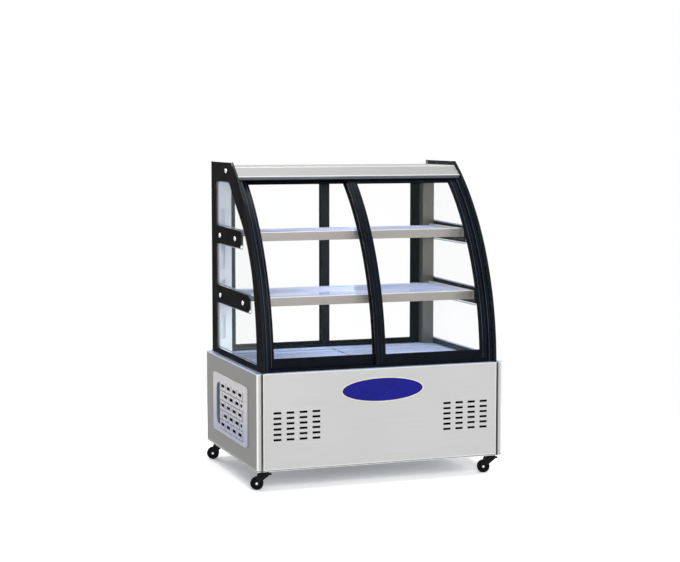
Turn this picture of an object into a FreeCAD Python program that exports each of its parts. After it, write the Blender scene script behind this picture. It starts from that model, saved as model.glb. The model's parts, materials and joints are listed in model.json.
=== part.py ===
"""Floor-standing bakery display case on casters: a refrigerated base cabinet, a curved sliding glass front,
glass sides, sliding glass rear doors and wire shelves.

Frame: millimetres, +X to the right of someone facing the case, +Y towards the rear doors, +Z up.
The origin is on the floor under the middle of the case.
"""
import FreeCAD, Part
import math
import os
import Sketcher
from types import SimpleNamespace

DOC = FreeCAD.newDocument("bakery_display_case")
VEC = FreeCAD.Vector

# Driving sizes in millimetres and degrees: alias, value, meaning.
SIZES = (
    ("width", 1000, "overall width of the base cabinet"),
    ("depth", 700, "overall depth of the base cabinet"),
    ("base_bottom", 75, "height of the cabinet's underside"),
    ("base_top", 443, "height of the deck that carries the glass"),
    ("glass_top", 1216, "height of the side glasses' top edge"),
    ("skin", 1.2, "stainless sheet thickness"),
    ("top_depth", 291.2, "depth of the side glasses at their top edge"),
    ("curve_radius", 960, "radius of the side glasses' front edge"),
    ("glass_inset", 25, "ledge of the deck outside each side glass"),
    ("side_glass", 8, "side glass thickness"),
    ("glass_corner", 12, "radius of the side glasses' top front corner"),
    ("post_width", 21, "front and rear returns of the side panels"),
    ("post_return", 12, "second fold of each return"),
    ("panel_gap", 4.5, "gap between a return and the panel beside it"),
    ("tray_depth", 18, "depth of the front panel's folded edges"),
    ("louvre_length", 31, "front panel louvre slot length"),
    ("louvre_height", 8.6, "front panel louvre slot height"),
    ("louvre_pitch", 51, "spacing of the louvre columns"),
    ("louvre_step", 20.2, "spacing of the louvre rows"),
    ("louvre_columns", 4, "columns in each louvre group"),
    ("louvre_rows", 6, "rows in each louvre group"),
    ("louvre_inset", 39.5, "each louvre group's outer end from the panel's side"),
    ("louvre_low", 192, "height of the lowest louvre row"),
    ("chassis_sheet", 2, "chassis tray sheet thickness"),
    ("chassis_flange", 26, "chassis tray flange height"),
    ("well_side", 60, "cold well's side walls inside the cabinet's sides"),
    ("well_fore", 70, "cold well's front wall behind the cabinet's front"),
    ("well_rear", 104, "cold well's rear wall before the cabinet's rear"),
    ("well_depth", 90, "depth of the well under the deck"),
    ("foam", 38, "insulation thickness under and around the well"),
    ("door_setback", 24, "outer front door face behind the side glass edge"),
    ("door_thick", 12, "thickness of each front door frame"),
    ("track_web", 7, "gap between the two front doors"),
    ("track_lip", 4.4, "thickness of the track walls outside the doors"),
    ("track_play", 0.8, "play of a front door in its track"),
    ("sill_plate", 2, "plate under the front doors"),
    ("sill_height", 9, "height of the front track's lips"),
    ("door_headroom", 1.5, "gap over the front doors in the header"),
    ("door_lift", 0.5, "running gap under every sliding door"),
    ("jamb_width", 18, "width of the curved front jambs"),
    ("jamb_bite", 14.5, "depth of the jambs' door pockets"),
    ("stile_width", 42, "outer stile of a front door"),
    ("mullion_width", 38, "meeting stile of a front door"),
    ("door_rail", 44, "top of the front doors' bottom rail over the deck"),
    ("header_height", 22, "height of the front header"),
    ("header_drop", 31, "front header's top below the roof"),
    ("door_head", 13, "part of the front doors' top rail seen below the header"),
    ("header_slot", 10.5, "depth of the header's door slots"),
    ("pane_thick", 5, "front door pane thickness"),
    ("pane_bite", 8, "depth of the groove that holds a pane"),
    ("pane_play", 0.3, "gap beside a pane in its groove"),
    ("roof_drop", 17, "roof panel below the side glasses' top edge"),
    ("fascia_rise", 39, "height of the sloping fascia"),
    ("fascia_run", 58, "depth of the sloping fascia"),
    ("fascia_setback", 8.5, "fascia's lower edge behind the side glass edge"),
    ("flange_front", 7, "front end of the roof's side flanges behind its crown"),
    ("flange_back", 10, "rear end of the roof's side flanges before the rear frame"),
    ("seat_gap", 0.3, "gap where curved sheets meet"),
    ("rear_frame_depth", 50, "depth of the rear door frame"),
    ("rear_jamb", 27, "width of the rear frame's jambs"),
    ("rear_rail", 48, "height of the rear frame's top rail"),
    ("rear_sill", 9, "height of the rear frame's sill lips"),
    ("rear_sill_plate", 3, "plate under the rear doors"),
    ("rear_head_slot", 12, "depth of the rear frame's upper door slots"),
    ("rear_headroom", 1.3, "gap over the rear doors in the frame"),
    ("rear_track", 7.5, "wall before the first rear track"),
    ("rear_web", 5, "wall between the two rear tracks"),
    ("rear_play", 0.5, "play of a rear door in its track"),
    ("rear_stile", 68, "outer stile of a rear door"),
    ("rear_meeting", 30, "meeting stile of a rear door"),
    ("rear_door_rail", 16, "bottom rail of a rear door"),
    ("rear_head", 15, "part of the top rail of a rear door seen below the frame"),
    ("rear_pane", 4, "rear door pane thickness"),
    ("pull_width", 30, "finger pull width"),
    ("pull_height", 100, "finger pull height"),
    ("pull_depth", 6, "finger pull depth"),
    ("pull_level", 800, "height of the finger pulls' middle"),
    ("shelf_side", 25, "gap between the shelves and the side glasses"),
    ("shelf_rear", 10, "gap between the shelves and the ducts"),
    ("shelf_rail", 34, "height of a shelf's front rail"),
    ("shelf_lip", 14, "return of a shelf's front rail"),
    ("shelf_ledge", 18, "ledge that carries the wire rack"),
    ("upper_shelf", 951, "height of the upper shelf's front rail"),
    ("upper_room", 22.5, "gap between the upper shelf and the door tracks"),
    ("middle_shelf", 710, "height of the middle shelf's front rail"),
    ("middle_room", 42, "gap between the middle shelf and the door tracks"),
    ("rack_drop", 6.5, "wire tops below the top of the front rail"),
    ("wire", 3, "coated wire thickness"),
    ("wire_gaps", 28, "gaps between the wires of a shelf rack"),
    ("wire_margin", 5, "gap beside each rack"),
    ("rack_gap", 0.8, "gap before and behind each rack"),
    ("rack_bar", 4, "width of a rack's front bar and cross rods"),
    ("floor_rack_side", 7, "floor racks inside the cold well's sides"),
    ("floor_rack_gap", 8, "inner edge of the floor racks from the middle"),
    ("floor_overlap", 8, "overlap of the floor racks on the deck"),
    ("bracket_sheet", 2.5, "shelf bracket thickness"),
    ("bracket_height", 50, "shelf bracket height"),
    ("bracket_rear", 5, "gap between the brackets and the ducts"),
    ("bracket_setback", 39, "front ends of the brackets behind a shelf's front"),
    ("bracket_corner", 14, "radius of a bracket's front corners"),
    ("bracket_drop", 3, "upper edge of a bracket under the top of the shelf"),
    ("bracket_leg", 40, "width of the leg that carries the shelf"),
    ("duct_width", 49, "width of the side ducts"),
    ("duct_depth", 40, "depth of the side ducts"),
    ("duct_room", 66, "top of the side ducts below the roof"),
    ("duct_wall", 1.5, "wall of the side ducts"),
    ("duct_corner", 25, "radius of the ducts' top inner corner"),
    ("outlet_width", 20, "cold air outlet width"),
    ("outlet_height", 98, "cold air outlet height"),
    ("outlet_room", 109, "duct above the highest outlet"),
    ("outlet_low", 57, "lower end of the lowest outlet over the deck"),
    ("outlet_count", 4, "outlets in the duct"),
    ("outlet_edge", 12, "outlets' middle from the side glass"),
    ("grille_front", 230, "vent grille's front edge before the middle"),
    ("grille_back", 240, "vent grille's rear edge behind the middle"),
    ("grille_low", 143, "vent grille's lower edge"),
    ("grille_high", 376, "vent grille's upper edge"),
    ("grille_thick", 4, "vent grille thickness"),
    ("grille_corner", 18, "vent grille corner radius"),
    ("grille_border", 26, "vent grille's rim over the side panel"),
    ("brick_pitch", 80, "spacing of the grille's louvres along a course"),
    ("brick_step", 38.4, "spacing of the grille's courses"),
    ("brick_width", 70, "width of a louvre face"),
    ("brick_height", 23, "height of a louvre face"),
    ("brick_raise", 3, "height of a louvre face's upper edge above the plate"),
    ("vent_width", 45, "width of the slot above a louvre face"),
    ("vent_height", 12, "height of the slot above a louvre face"),
    ("vent_first", 99, "rearmost slot's middle behind the case's middle"),
    ("vent_high", 334, "height of the top course's slots"),
    ("scoop_front", 140, "finger scoop's straight front edge behind the middle"),
    ("scoop_back", 190, "finger scoop's rear edge behind the middle"),
    ("scoop_low", 174, "finger scoop's lower end"),
    ("scoop_high", 342, "finger scoop's upper end"),
    ("scoop_depth", 14, "finger scoop depth"),
    ("scoop_wall", 3, "wall of the scoop's cup"),
    ("scoop_corner", 34, "radius of the finger scoop's rear corners"),
    ("wheel_radius", 25, "caster wheel radius"),
    ("wheel_width", 18, "caster wheel width"),
    ("axle_radius", 4, "caster axle radius"),
    ("pin_play", 0.05, "radial play of pins, axles and shafts"),
    ("caster_heading", 160, "direction in which the wheels trail, in degrees from the right"),
    ("caster_trail", 22, "wheel centre behind the swivel axis"),
    ("caster_inset_x", 35, "swivel axis from the cabinet's side"),
    ("caster_inset_y", 42, "swivel axis from the cabinet's front or rear"),
    ("caster_plate", 56, "caster mounting plate side"),
    ("plate_thick", 3, "caster mounting plate thickness"),
    ("swivel_gap", 0.3, "gap between plate and swivel fork"),
    ("fork_lead", 24, "fork's leading edge before the swivel axis"),
    ("fork_tail", 16, "fork crown's trailing edge behind the swivel axis"),
    ("fork_crown", 4, "thickness of the fork's crown"),
    ("fork_skirt", 16, "depth of the fork's leading edge"),
    ("fork_cheek", 2.6, "fork cheek thickness"),
    ("fork_boss", 9, "radius of the fork's axle boss"),
    ("wheel_play", 0.7, "gap beside a caster wheel"),
    ("pedal_pivot", 19, "brake pedal pivot before the swivel axis"),
    ("pedal_drop", 7.7, "brake pedal pivot under the fork's crown"),
    ("pedal_reach", 15, "brake pedal's tip before its pivot"),
    ("pedal_thick", 4, "brake pedal thickness"),
    ("pedal_eye", 5, "half thickness of the brake pedal at its pivot"),
    ("pedal_play", 0.3, "gap between a brake pedal and a fork's cheek"),
    ("shoe_gap", 0.5, "gap between brake shoe and tyre"),
    ("shoe_width", 6, "brake shoe width"),
    ("coil_inset", 28, "condenser's outer face inside the side panel"),
    ("coil_depth", 44, "condenser thickness"),
    ("coil_half", 150, "condenser half length"),
    ("coil_room", 36.8, "gap between the condenser and the insulation"),
    ("coil_frame", 8, "end plates of both coils"),
    ("coil_fins", 10, "gaps between the condenser's fin packs"),
    ("cooler_fins", 12, "gaps between the evaporator's fin packs"),
    ("fin_thick", 3, "thickness of a fin pack"),
    ("shroud_depth", 26, "depth of the condenser fan shroud"),
    ("throat_margin", 4, "sheet above and below the fan's round throat"),
    ("fan_gap", 4, "gap round the condenser fan's blades"),
    ("fan_chord", 36, "blade width at the tip of the condenser fan"),
    ("hub_length", 17, "length of the condenser fan's hub"),
    ("fan_hub", 20, "condenser fan hub radius over its corners"),
    ("hub_gap", 5, "gap between the condenser fan's hub and its shroud"),
    ("turning_gap", 0.5, "gap between a fan's hub and its motor"),
    ("blade_thick", 1.6, "thickness of fan blades"),
    ("fan_blades", 5, "blades on each fan"),
    ("arm_sheet", 3, "thickness of the arms that carry the fan motor"),
    ("arm_width", 8, "width of each arm"),
    ("nose_half", 9, "half width of the motor's nose between the arms"),
    ("motor_half", 26, "half width of the condenser fan motor"),
    ("motor_length", 52, "condenser fan motor length"),
    ("pot_radius", 66, "compressor radius"),
    ("pipe_room", 21.8, "discharge pipe under the insulation"),
    ("pot_x", 150, "compressor's place left of the middle"),
    ("pot_y", 60, "compressor's place behind the middle"),
    ("pot_foot", 12, "height of the compressor's rubber feet"),
    ("foot_side", 22, "side of the compressor's rubber feet"),
    ("mount_half", 62, "half side of the compressor's base plate"),
    ("mount_sheet", 3, "thickness of the compressor's base plate"),
    ("pipe_radius", 5, "refrigerant pipe radius"),
    ("header_half", 12, "half width of the condenser's inlet header"),
    ("header_room", 9.8, "gap between the condenser's header and the insulation"),
    ("fitting", 18, "side of the fitting in the discharge pipe"),
    ("pipe_rise", 40, "rise of the discharge pipe over the compressor"),
    ("pipe_offset", 24, "pipes' places from the compressor's axis"),
    ("cooler_half", 260, "evaporator half length"),
    ("cooler_height", 62, "evaporator height"),
    ("cooler_depth", 70, "evaporator depth"),
    ("cooler_back", 20, "gap between the evaporator and the well's rear wall"),
    ("blower_radius", 34, "evaporator fan radius"),
    ("blower_hub", 12, "evaporator fan hub radius"),
    ("blower_length", 14, "evaporator fan hub length"),
    ("blower_chord", 18, "blade width at the tip of the evaporator fan"),
    ("blower_gap", 5, "gap behind the evaporator fan"),
    ("blower_lift", 42, "height of the evaporator fan's axis over the well's floor"),
    ("blower_half", 17, "half width of the evaporator fan motor"),
    ("blower_body", 34, "evaporator fan motor length"),
    ("tray_half", 150, "half side of the drip tray"),
    ("tray_x", 250, "drip tray's middle right of the middle"),
    ("tray_height", 20, "drip tray height"),
    ("tray_wall", 2, "drip tray wall"),
    ("box_inset", 160, "control box's middle from the cabinet's right side"),
    ("box_z", 205, "control box's middle height"),
    ("box_half_width", 85, "control box half width"),
    ("box_half_height", 62, "control box half height"),
    ("box_depth", 90, "control box depth"),
    ("box_rim", 7, "rear panel's cover of the control box's rim"),
    ("bezel_half_width", 32, "controller bezel half width"),
    ("bezel_half_height", 16, "controller bezel half height"),
    ("bezel_raise", 1.6, "controller bezel's projection"),
    ("bezel_x", 36, "controller bezel's middle right of the box's middle"),
    ("rocker_x", 52, "first rocker left of the box's middle"),
    ("rocker_pitch", 38, "spacing of the rockers"),
    ("rocker_half_width", 10.5, "rocker half width"),
    ("rocker_half_height", 14, "rocker half height"),
    ("rocker_gap", 0.5, "gap beside a rocker"),
    ("rocker_swing_gap", 1.3, "gap above and below a rocker"),
    ("rocker_sink", 4, "rocker pivot under the box's face"),
    ("rocker_back", 5, "rocker's back behind its pivot"),
    ("rocker_face", 7, "rocker's tips before its pivot"),
    ("rocker_waist", 4.5, "rocker's middle before its pivot"),
    ("rocker_tilt", 8, "tilt of a rocker to either side"),
    ("rocker_well", 14, "depth of a rocker's recess"),
    ("inlet_x", 60, "mains inlet right of the box's middle"),
    ("inlet_z", 34, "mains inlet's middle below the box's middle"),
    ("inlet_width", 27, "mains inlet width"),
    ("inlet_height", 20, "mains inlet height"),
    ("inlet_depth", 17, "mains inlet depth"),
    ("rear_slot", 240, "rear panel louvre length"),
    ("rear_slot_height", 8, "rear panel louvre height"),
    ("rear_slot_pitch", 22, "spacing of the rear panel's louvres"),
    ("rear_slot_groups", 2, "groups of louvres side by side in the rear panel"),
    ("rear_slot_gap", 40, "gap between the rear panel's louvre groups"),
    ("rear_slot_rows", 6, "rows in each rear louvre group"),
    ("rear_slot_inset", 54.5, "rear louvres' left end from the panel's side"),
    ("rear_slot_low", 120, "lower edge of the rear panel's lowest louvre"),
    ("lamp_end", 37, "gap between the lamp and the side glasses"),
    ("lamp_setback", 47, "lamp's front edge behind the roof's crown"),
    ("lamp_width", 40, "lamp width"),
    ("lamp_height", 16, "lamp height"),
    ("lamp_taper", 6, "slope of the lamp's sides"),
)


class Dim:
    """A size that keeps its formula over the sheet's cells together with its value."""

    def __init__(self, text, value):
        self.text = text
        self.value = value

    def __float__(self):
        return float(self.value)

    def __neg__(self):
        return Dim(f"(0 - {self.text})", -self.value)

    def __add__(self, other):
        return combine(self, "+", other, self.value + float(other))

    def __radd__(self, other):
        return combine(other, "+", self, float(other) + self.value)

    def __sub__(self, other):
        return combine(self, "-", other, self.value - float(other))

    def __rsub__(self, other):
        return combine(other, "-", self, float(other) - self.value)

    def __mul__(self, other):
        return combine(self, "*", other, self.value * float(other))

    def __rmul__(self, other):
        return combine(other, "*", self, float(other) * self.value)

    def __truediv__(self, other):
        return combine(self, "/", other, self.value / float(other))


def term(item):
    return item.text if isinstance(item, Dim) else f"({float(item)!r})"


def combine(left, sign, right, value):
    return Dim(f"({term(left)} {sign} {term(right)})", value)


def root(item):
    return Dim(f"sqrt({item.text})", math.sqrt(item.value))


def write_sheet():
    sheet = DOC.addObject("Spreadsheet::Sheet", "Sizes")
    names = SimpleNamespace()
    for row, (alias, value, meaning) in enumerate(SIZES, start=1):
        sheet.set(f"A{row}", alias)
        sheet.set(f"B{row}", str(value))
        sheet.set(f"C{row}", meaning)
        sheet.setAlias(f"B{row}", alias)
        setattr(names, alias, Dim(f"Sizes.{alias}", float(value)))
    DOC.recompute()
    return names


s = write_sheet()
NODES = []


def keep(item, label):
    """Register an object as a finished sub-part."""
    item.Label = label
    NODES.append(item)
    return item


def bind(item, name, value):
    """Set a property, through its formula where it has one."""
    if isinstance(value, Dim):
        item.setExpression(name, value.text)
    elif name.startswith("Placement.Base."):
        base = item.Placement.Base
        setattr(base, name[-1], float(value))
        item.Placement.Base = base
    else:
        setattr(item, name, value)


def place(item, x=0, y=0, z=0):
    for name, value in zip("xyz", (x, y, z)):
        bind(item, f"Placement.Base.{name}", value)
    return item


# ---------------------------------------------------------------- sketches
PLANES = {"X": ("YZ_Plane", 1), "Y": ("XZ_Plane", -1), "Z": ("XY_Plane", 1)}


def fix(sketch, kind, geometry, point, value):
    """Hold one coordinate of a sketch point, measured from the sketch's origin."""
    if abs(float(value)) < 1e-9 and not isinstance(value, Dim):
        axis = -2 if kind == "DistanceX" else -1
        sketch.addConstraint(Sketcher.Constraint("PointOnObject", geometry, point, axis))
        return
    index = sketch.addConstraint(Sketcher.Constraint(kind, -1, 1, geometry, point, float(value)))
    name_constraint(sketch, index, value)


def name_constraint(sketch, index, value):
    if isinstance(value, Dim):
        sketch.renameConstraint(index, f"size{index}")
        sketch.setExpression(f"Constraints.size{index}", value.text)


def join(sketch, *pairs):
    for pair in pairs:
        sketch.addConstraint(Sketcher.Constraint("Coincident", *pair))


def radius(sketch, geometry, value):
    index = sketch.addConstraint(Sketcher.Constraint("Radius", geometry, float(value)))
    name_constraint(sketch, index, value)


def polygon(*corners):
    """A closed outline of straight lines."""

    def draw(sketch):
        first = sketch.GeometryCount
        count = len(corners)
        points = [VEC(float(x), float(y), 0) for x, y in corners]
        for i in range(count):
            sketch.addGeometry(Part.LineSegment(points[i], points[(i + 1) % count]))
        for i in range(count):
            join(sketch, (first + i, 2, first + (i + 1) % count, 1))
        for i, (x, y) in enumerate(corners):
            fix(sketch, "DistanceX", first + i, 1, x)
            fix(sketch, "DistanceY", first + i, 1, y)

    return draw


def rectangle(x0, y0, x1, y1):
    return polygon((x0, y0), (x1, y0), (x1, y1), (x0, y1))


def disc(x, y, size):
    def draw(sketch):
        first = sketch.GeometryCount
        sketch.addGeometry(Part.Circle(VEC(float(x), float(y), 0), VEC(0, 0, 1), float(size)))
        radius(sketch, first, size)
        fix(sketch, "DistanceX", first, 3, x)
        fix(sketch, "DistanceY", first, 3, y)

    return draw


def obround(x, low, high, width):
    """An upright slot with round ends: middle line x, from low to high."""

    def draw(sketch):
        first = sketch.GeometryCount
        half = width / 2
        mid, bottom, top, size = float(x), float(low + half), float(high - half), float(half)
        end = VEC(0, 0, 1)
        sketch.addGeometry(
            Part.ArcOfCircle(Part.Circle(VEC(mid, top, 0), end, size), 0, math.pi)
        )
        sketch.addGeometry(Part.LineSegment(VEC(mid - size, top, 0), VEC(mid - size, bottom, 0)))
        sketch.addGeometry(
            Part.ArcOfCircle(Part.Circle(VEC(mid, bottom, 0), end, size), math.pi, 2 * math.pi)
        )
        sketch.addGeometry(Part.LineSegment(VEC(mid + size, bottom, 0), VEC(mid + size, top, 0)))
        for i in range(4):
            following = first + (i + 1) % 4
            sketch.addConstraint(Sketcher.Constraint("Tangent", first + i, 2, following, 1))
        radius(sketch, first, half)
        fix(sketch, "DistanceX", first, 3, x)
        fix(sketch, "DistanceY", first, 3, high - half)
        sketch.addConstraint(Sketcher.Constraint("Vertical", first + 1))
        fix(sketch, "DistanceY", first + 2, 3, low + half)

    return draw


def curve_point(size, level):
    """Where the front curve of that radius meets a level above the curve's centre."""
    return VEC(-math.sqrt(float(size) ** 2 - float(level) ** 2), float(level), 0)


def curve_arc(sketch, size, low, high):
    """An arc about the sketch's origin, from high down to low on the front side."""
    index = sketch.GeometryCount
    angles = [math.pi - math.asin(float(level) / float(size)) for level in (high, low)]
    circle = Part.Circle(VEC(0, 0, 0), VEC(0, 0, 1), float(size))
    sketch.addGeometry(Part.ArcOfCircle(circle, *angles))
    join(sketch, (index, 3, -1, 1))
    radius(sketch, index, size)
    return index


def curve_band(outer, inner, low, high):
    """The section of a bent plate between two radii, cut off level at low and high."""

    def draw(sketch):
        front = curve_arc(sketch, outer, low, high)
        back = curve_arc(sketch, inner, low, high)
        bottom = sketch.GeometryCount
        sketch.addGeometry(Part.LineSegment(curve_point(outer, low), curve_point(inner, low)))
        sketch.addGeometry(Part.LineSegment(curve_point(inner, high), curve_point(outer, high)))
        top = bottom + 1
        join(sketch, (front, 2, bottom, 1), (bottom, 2, back, 2))
        join(sketch, (back, 1, top, 1), (top, 2, front, 1))
        sketch.addConstraint(Sketcher.Constraint("Horizontal", bottom))
        sketch.addConstraint(Sketcher.Constraint("Horizontal", top))
        fix(sketch, "DistanceY", front, 2, low)
        fix(sketch, "DistanceY", front, 1, high)

    return draw


def curve_plate(size, low, high, back):
    """A side glass: level bottom and top, upright back edge and curved front edge."""

    def draw(sketch):
        front = curve_arc(sketch, size, low, high)
        first = sketch.GeometryCount
        corners = [
            curve_point(size, low),
            VEC(float(back), float(low), 0),
            VEC(float(back), float(high), 0),
            curve_point(size, high),
        ]
        for start, stop in zip(corners, corners[1:]):
            sketch.addGeometry(Part.LineSegment(start, stop))
        join(sketch, (front, 2, first, 1), (first, 2, first + 1, 1))
        join(sketch, (first + 1, 2, first + 2, 1), (first + 2, 2, front, 1))
        sketch.addConstraint(Sketcher.Constraint("Horizontal", first))
        sketch.addConstraint(Sketcher.Constraint("Vertical", first + 1))
        sketch.addConstraint(Sketcher.Constraint("Horizontal", first + 2))
        fix(sketch, "DistanceY", front, 2, low)
        fix(sketch, "DistanceY", front, 1, high)
        fix(sketch, "DistanceX", first, 2, back)

    return draw


# ---------------------------------------------------------------- solids
def body(label):
    item = DOC.addObject("PartDesign::Body", label)
    item.Label = label
    return item


def draw_on(item, axis, start, stop, outlines):
    """A sketch square to an axis, on the side from which its feature runs."""
    role, sign = PLANES[axis]
    plane = next(f for f in item.Origin.OriginFeatures if f.Role == role)
    sketch = item.newObject("Sketcher::SketchObject", f"{item.Name}_sketch")
    sketch.AttachmentSupport = [(plane, "")]
    sketch.MapMode = "FlatFace"
    offset = start if sign > 0 else -stop
    sketch.AttachmentOffset = FreeCAD.Placement(VEC(0, 0, float(offset)), FreeCAD.Rotation())
    if isinstance(offset, Dim):
        sketch.setExpression("AttachmentOffset.Base.z", offset.text)
    for outline in outlines:
        outline(sketch)
    return sketch


def extend(item, kind, sketch, length):
    """Pad or pocket a sketch of the body."""
    feature = item.newObject(f"PartDesign::{kind}", f"{item.Name}_{kind.lower()}")
    feature.Profile = sketch
    if kind == "Pocket":
        feature.Reversed = True
    bind(feature, "Length", length)
    item.Tip = feature
    return feature


def pad(item, axis, start, stop, *outlines):
    """Add what the outlines enclose between start and stop on an axis."""
    return extend(item, "Pad", draw_on(item, axis, start, stop, outlines), stop - start)


def pocket(item, axis, start, stop, *outlines):
    """Remove what the outlines enclose between start and stop on an axis."""
    return extend(item, "Pocket", draw_on(item, axis, start, stop, outlines), stop - start)


def repeat(item, feature, *ways):
    """Copy a feature along one or two axes of its sketch: each way is an axis, a spacing and a count."""
    DOC.recompute()
    pattern = item.newObject("PartDesign::LinearPattern", f"{item.Name}_pattern")
    pattern.Originals = [feature]
    sketch = feature.Profile[0]
    for suffix, (axis, spacing, count) in zip(("", "2"), ways):
        setattr(pattern, f"Direction{suffix}", (sketch, [axis]))
        setattr(pattern, f"Mode{suffix}", "Spacing")
        bind(pattern, f"Offset{suffix}", spacing)
        bind(pattern, f"Occurrences{suffix}", count)
    if len(ways) > 1:
        pattern.Spacings2 = [-1.0] * (int(float(ways[1][2])) - 1)
    item.Tip = pattern
    return pattern


def around(item, feature, count):
    """Copy a feature about the body's own X or Y axis, the one its first sketch is square to."""
    DOC.recompute()
    pattern = item.newObject("PartDesign::PolarPattern", f"{item.Name}_polar")
    pattern.Originals = [feature]
    first = next(part for part in item.Group if part.TypeId == "Sketcher::SketchObject")
    pattern.Axis = (first, ["N_Axis"])
    bind(pattern, "Occurrences", count)
    item.Tip = pattern
    return pattern


def dress(item, kind, size, chosen):
    """Fillet or chamfer the edges of the body's tip that the test picks."""
    DOC.recompute()
    tip = item.Tip
    names = [f"Edge{i}" for i, edge in enumerate(tip.Shape.Edges, start=1) if chosen(edge)]
    feature = item.newObject(f"PartDesign::{kind}", f"{item.Name}_{kind.lower()}")
    feature.Base = (tip, names)
    bind(feature, "Radius" if kind == "Fillet" else "Size", size)
    item.Tip = feature
    return feature


def runs_along(edge, axis):
    """True for a straight edge parallel to an axis."""
    if edge.Curve.TypeId != "Part::GeomLine":
        return False
    direction = edge.Vertexes[1].Point - edge.Vertexes[0].Point
    return abs(getattr(direction, axis)) > 0.999 * direction.Length


def near(value, target):
    return abs(value - float(target)) < 0.01


def box(label, low, high):
    item = DOC.addObject("Part::Box", label)
    for name, start, stop in zip(("Length", "Width", "Height"), low, high):
        bind(item, name, stop - start)
    return place(item, *low)


TURNS = {
    "X": FreeCAD.Rotation(VEC(0, 1, 0), 90),
    "Y": FreeCAD.Rotation(VEC(1, 0, 0), -90),
    "Z": FreeCAD.Rotation(),
}


def rod(label, axis, start, size, length):
    """A round bar that runs from start along an axis."""
    item = DOC.addObject("Part::Cylinder", label)
    item.Placement.Rotation = TURNS[axis]
    bind(item, "Radius", size)
    bind(item, "Height", length)
    return place(item, *start)


def fuse(label, *parts):
    item = DOC.addObject("Part::MultiFuse", label)
    item.Shapes = list(parts)
    return item


def group(label, *parts):
    """Separate solids that share one node."""
    item = DOC.addObject("Part::Compound", label)
    item.Links = list(parts)
    return item


def span(side, close, far):
    """The range between two distances from the middle, on the side 1 or -1."""
    return (close, far) if side > 0 else (-far, -close)


# ---------------------------------------------------------------- shared places
HALF_W = s.width / 2
BACK = s.depth / 2
FRONT = -BACK
DECK_LOW = s.base_top - s.skin
GLASS_OUT = HALF_W - s.glass_inset
GLASS_IN = GLASS_OUT - s.side_glass
ROOF_TOP = s.glass_top - s.roof_drop
ROOF_LOW = ROOF_TOP - s.skin

# The front curve runs from the deck's front edge to the top edge of the side glasses.
TOP_FRONT = BACK - s.top_depth
RISE, SWEEP = s.glass_top - s.base_top, TOP_FRONT - FRONT
CHORD = root(RISE * RISE + SWEEP * SWEEP)
CURVE_REACH = root(s.curve_radius * s.curve_radius - CHORD * CHORD / 4)
CURVE_Y = (FRONT + TOP_FRONT) / 2 + CURVE_REACH * RISE / CHORD
CURVE_Z = (s.base_top + s.glass_top) / 2 - CURVE_REACH * SWEEP / CHORD

OUTER_FACE = s.curve_radius - s.door_setback
OUTER_BACK = OUTER_FACE - s.door_thick
INNER_FACE = OUTER_BACK - s.track_web
INNER_BACK = INNER_FACE - s.door_thick
TRACKS = ((OUTER_FACE, OUTER_BACK), (INNER_FACE, INNER_BACK))
TRACK_OUT = OUTER_FACE + s.track_play + s.track_lip
TRACK_IN = INNER_BACK - s.track_play - s.track_lip
JAMB_IN = GLASS_IN - s.jamb_width
DOOR_LOW = s.base_top + s.sill_plate + s.door_lift
HEADER_HIGH = ROOF_TOP - s.header_drop
HEADER_LOW = HEADER_HIGH - s.header_height
LINTEL = HEADER_LOW - s.door_head
DOOR_HIGH = HEADER_LOW + s.header_slot - s.door_headroom
DOOR_END = JAMB_IN + s.jamb_bite - s.door_lift

REAR_FRONT = BACK - s.rear_frame_depth
REAR_IN = GLASS_IN - s.rear_jamb
REAR_LOW = s.base_top + s.rear_sill_plate
REAR_OPEN = ROOF_LOW - s.rear_rail
REAR_SLOT = REAR_OPEN + s.rear_head_slot
REAR_END = REAR_IN + s.jamb_bite

WELL_SIDE = HALF_W - s.well_side
WELL_FRONT = FRONT + s.well_fore
WELL_BACK = BACK - s.well_rear
WELL_LOW = s.base_top - s.well_depth
FOAM_LOW = WELL_LOW - s.skin - s.foam
TRAY_TOP = s.base_bottom + s.chassis_sheet
POST_IN = HALF_W - s.post_width - s.panel_gap
LEDGE_DROP = s.rack_drop + s.wire * 2
SHELF_SIDE = GLASS_IN - s.shelf_side
BOX_X = HALF_W - s.box_inset
DUCT_FRONT = REAR_FRONT - s.duct_depth
DUCT_TOP = ROOF_TOP - s.duct_room
SHELF_BACK = DUCT_FRONT - s.shelf_rear
EAVE_Z = ROOF_TOP - s.fascia_rise


def above_centre(level):
    """A height measured from the front curve's centre."""
    return level - CURVE_Z


def curve_front(size, level):
    """Where the front curve of that radius stands at a height."""
    rise = above_centre(level)
    return CURVE_Y - root(size * size - rise * rise)


def on_curve(item):
    """Put a body's own origin on the front curve's centre."""
    return place(item, 0, CURVE_Y, CURVE_Z)


EAVE_Y = curve_front(s.curve_radius, EAVE_Z) + s.fascia_setback
CROWN = EAVE_Y + s.fascia_run


# ---------------------------------------------------------------- base cabinet
def chassis_tray():
    item = body("chassis_tray")
    side, front, back = HALF_W - s.skin, FRONT + s.tray_depth, BACK - s.post_return
    wall = s.chassis_sheet
    top = s.base_bottom + s.chassis_flange
    pad(item, "Z", s.base_bottom, top, rectangle(-side, front, side, back))
    inner = rectangle(-side + wall, front + wall, side - wall, back - wall)
    pocket(item, "Z", TRAY_TOP, top, inner)
    keep(item, "chassis_tray")


def folded_panel(label, start, stop, face, inside):
    """A tray-shaped panel between the corner posts, with its face on one side."""
    item = body(label)
    pad(item, "Y", start, stop, rectangle(-POST_IN, s.base_bottom, POST_IN, DECK_LOW))
    side = POST_IN - s.skin
    inner = rectangle(-side, s.base_bottom + s.skin, side, DECK_LOW - s.skin)
    pocket(item, "Y", face, inside, inner)
    return keep(item, label)


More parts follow.
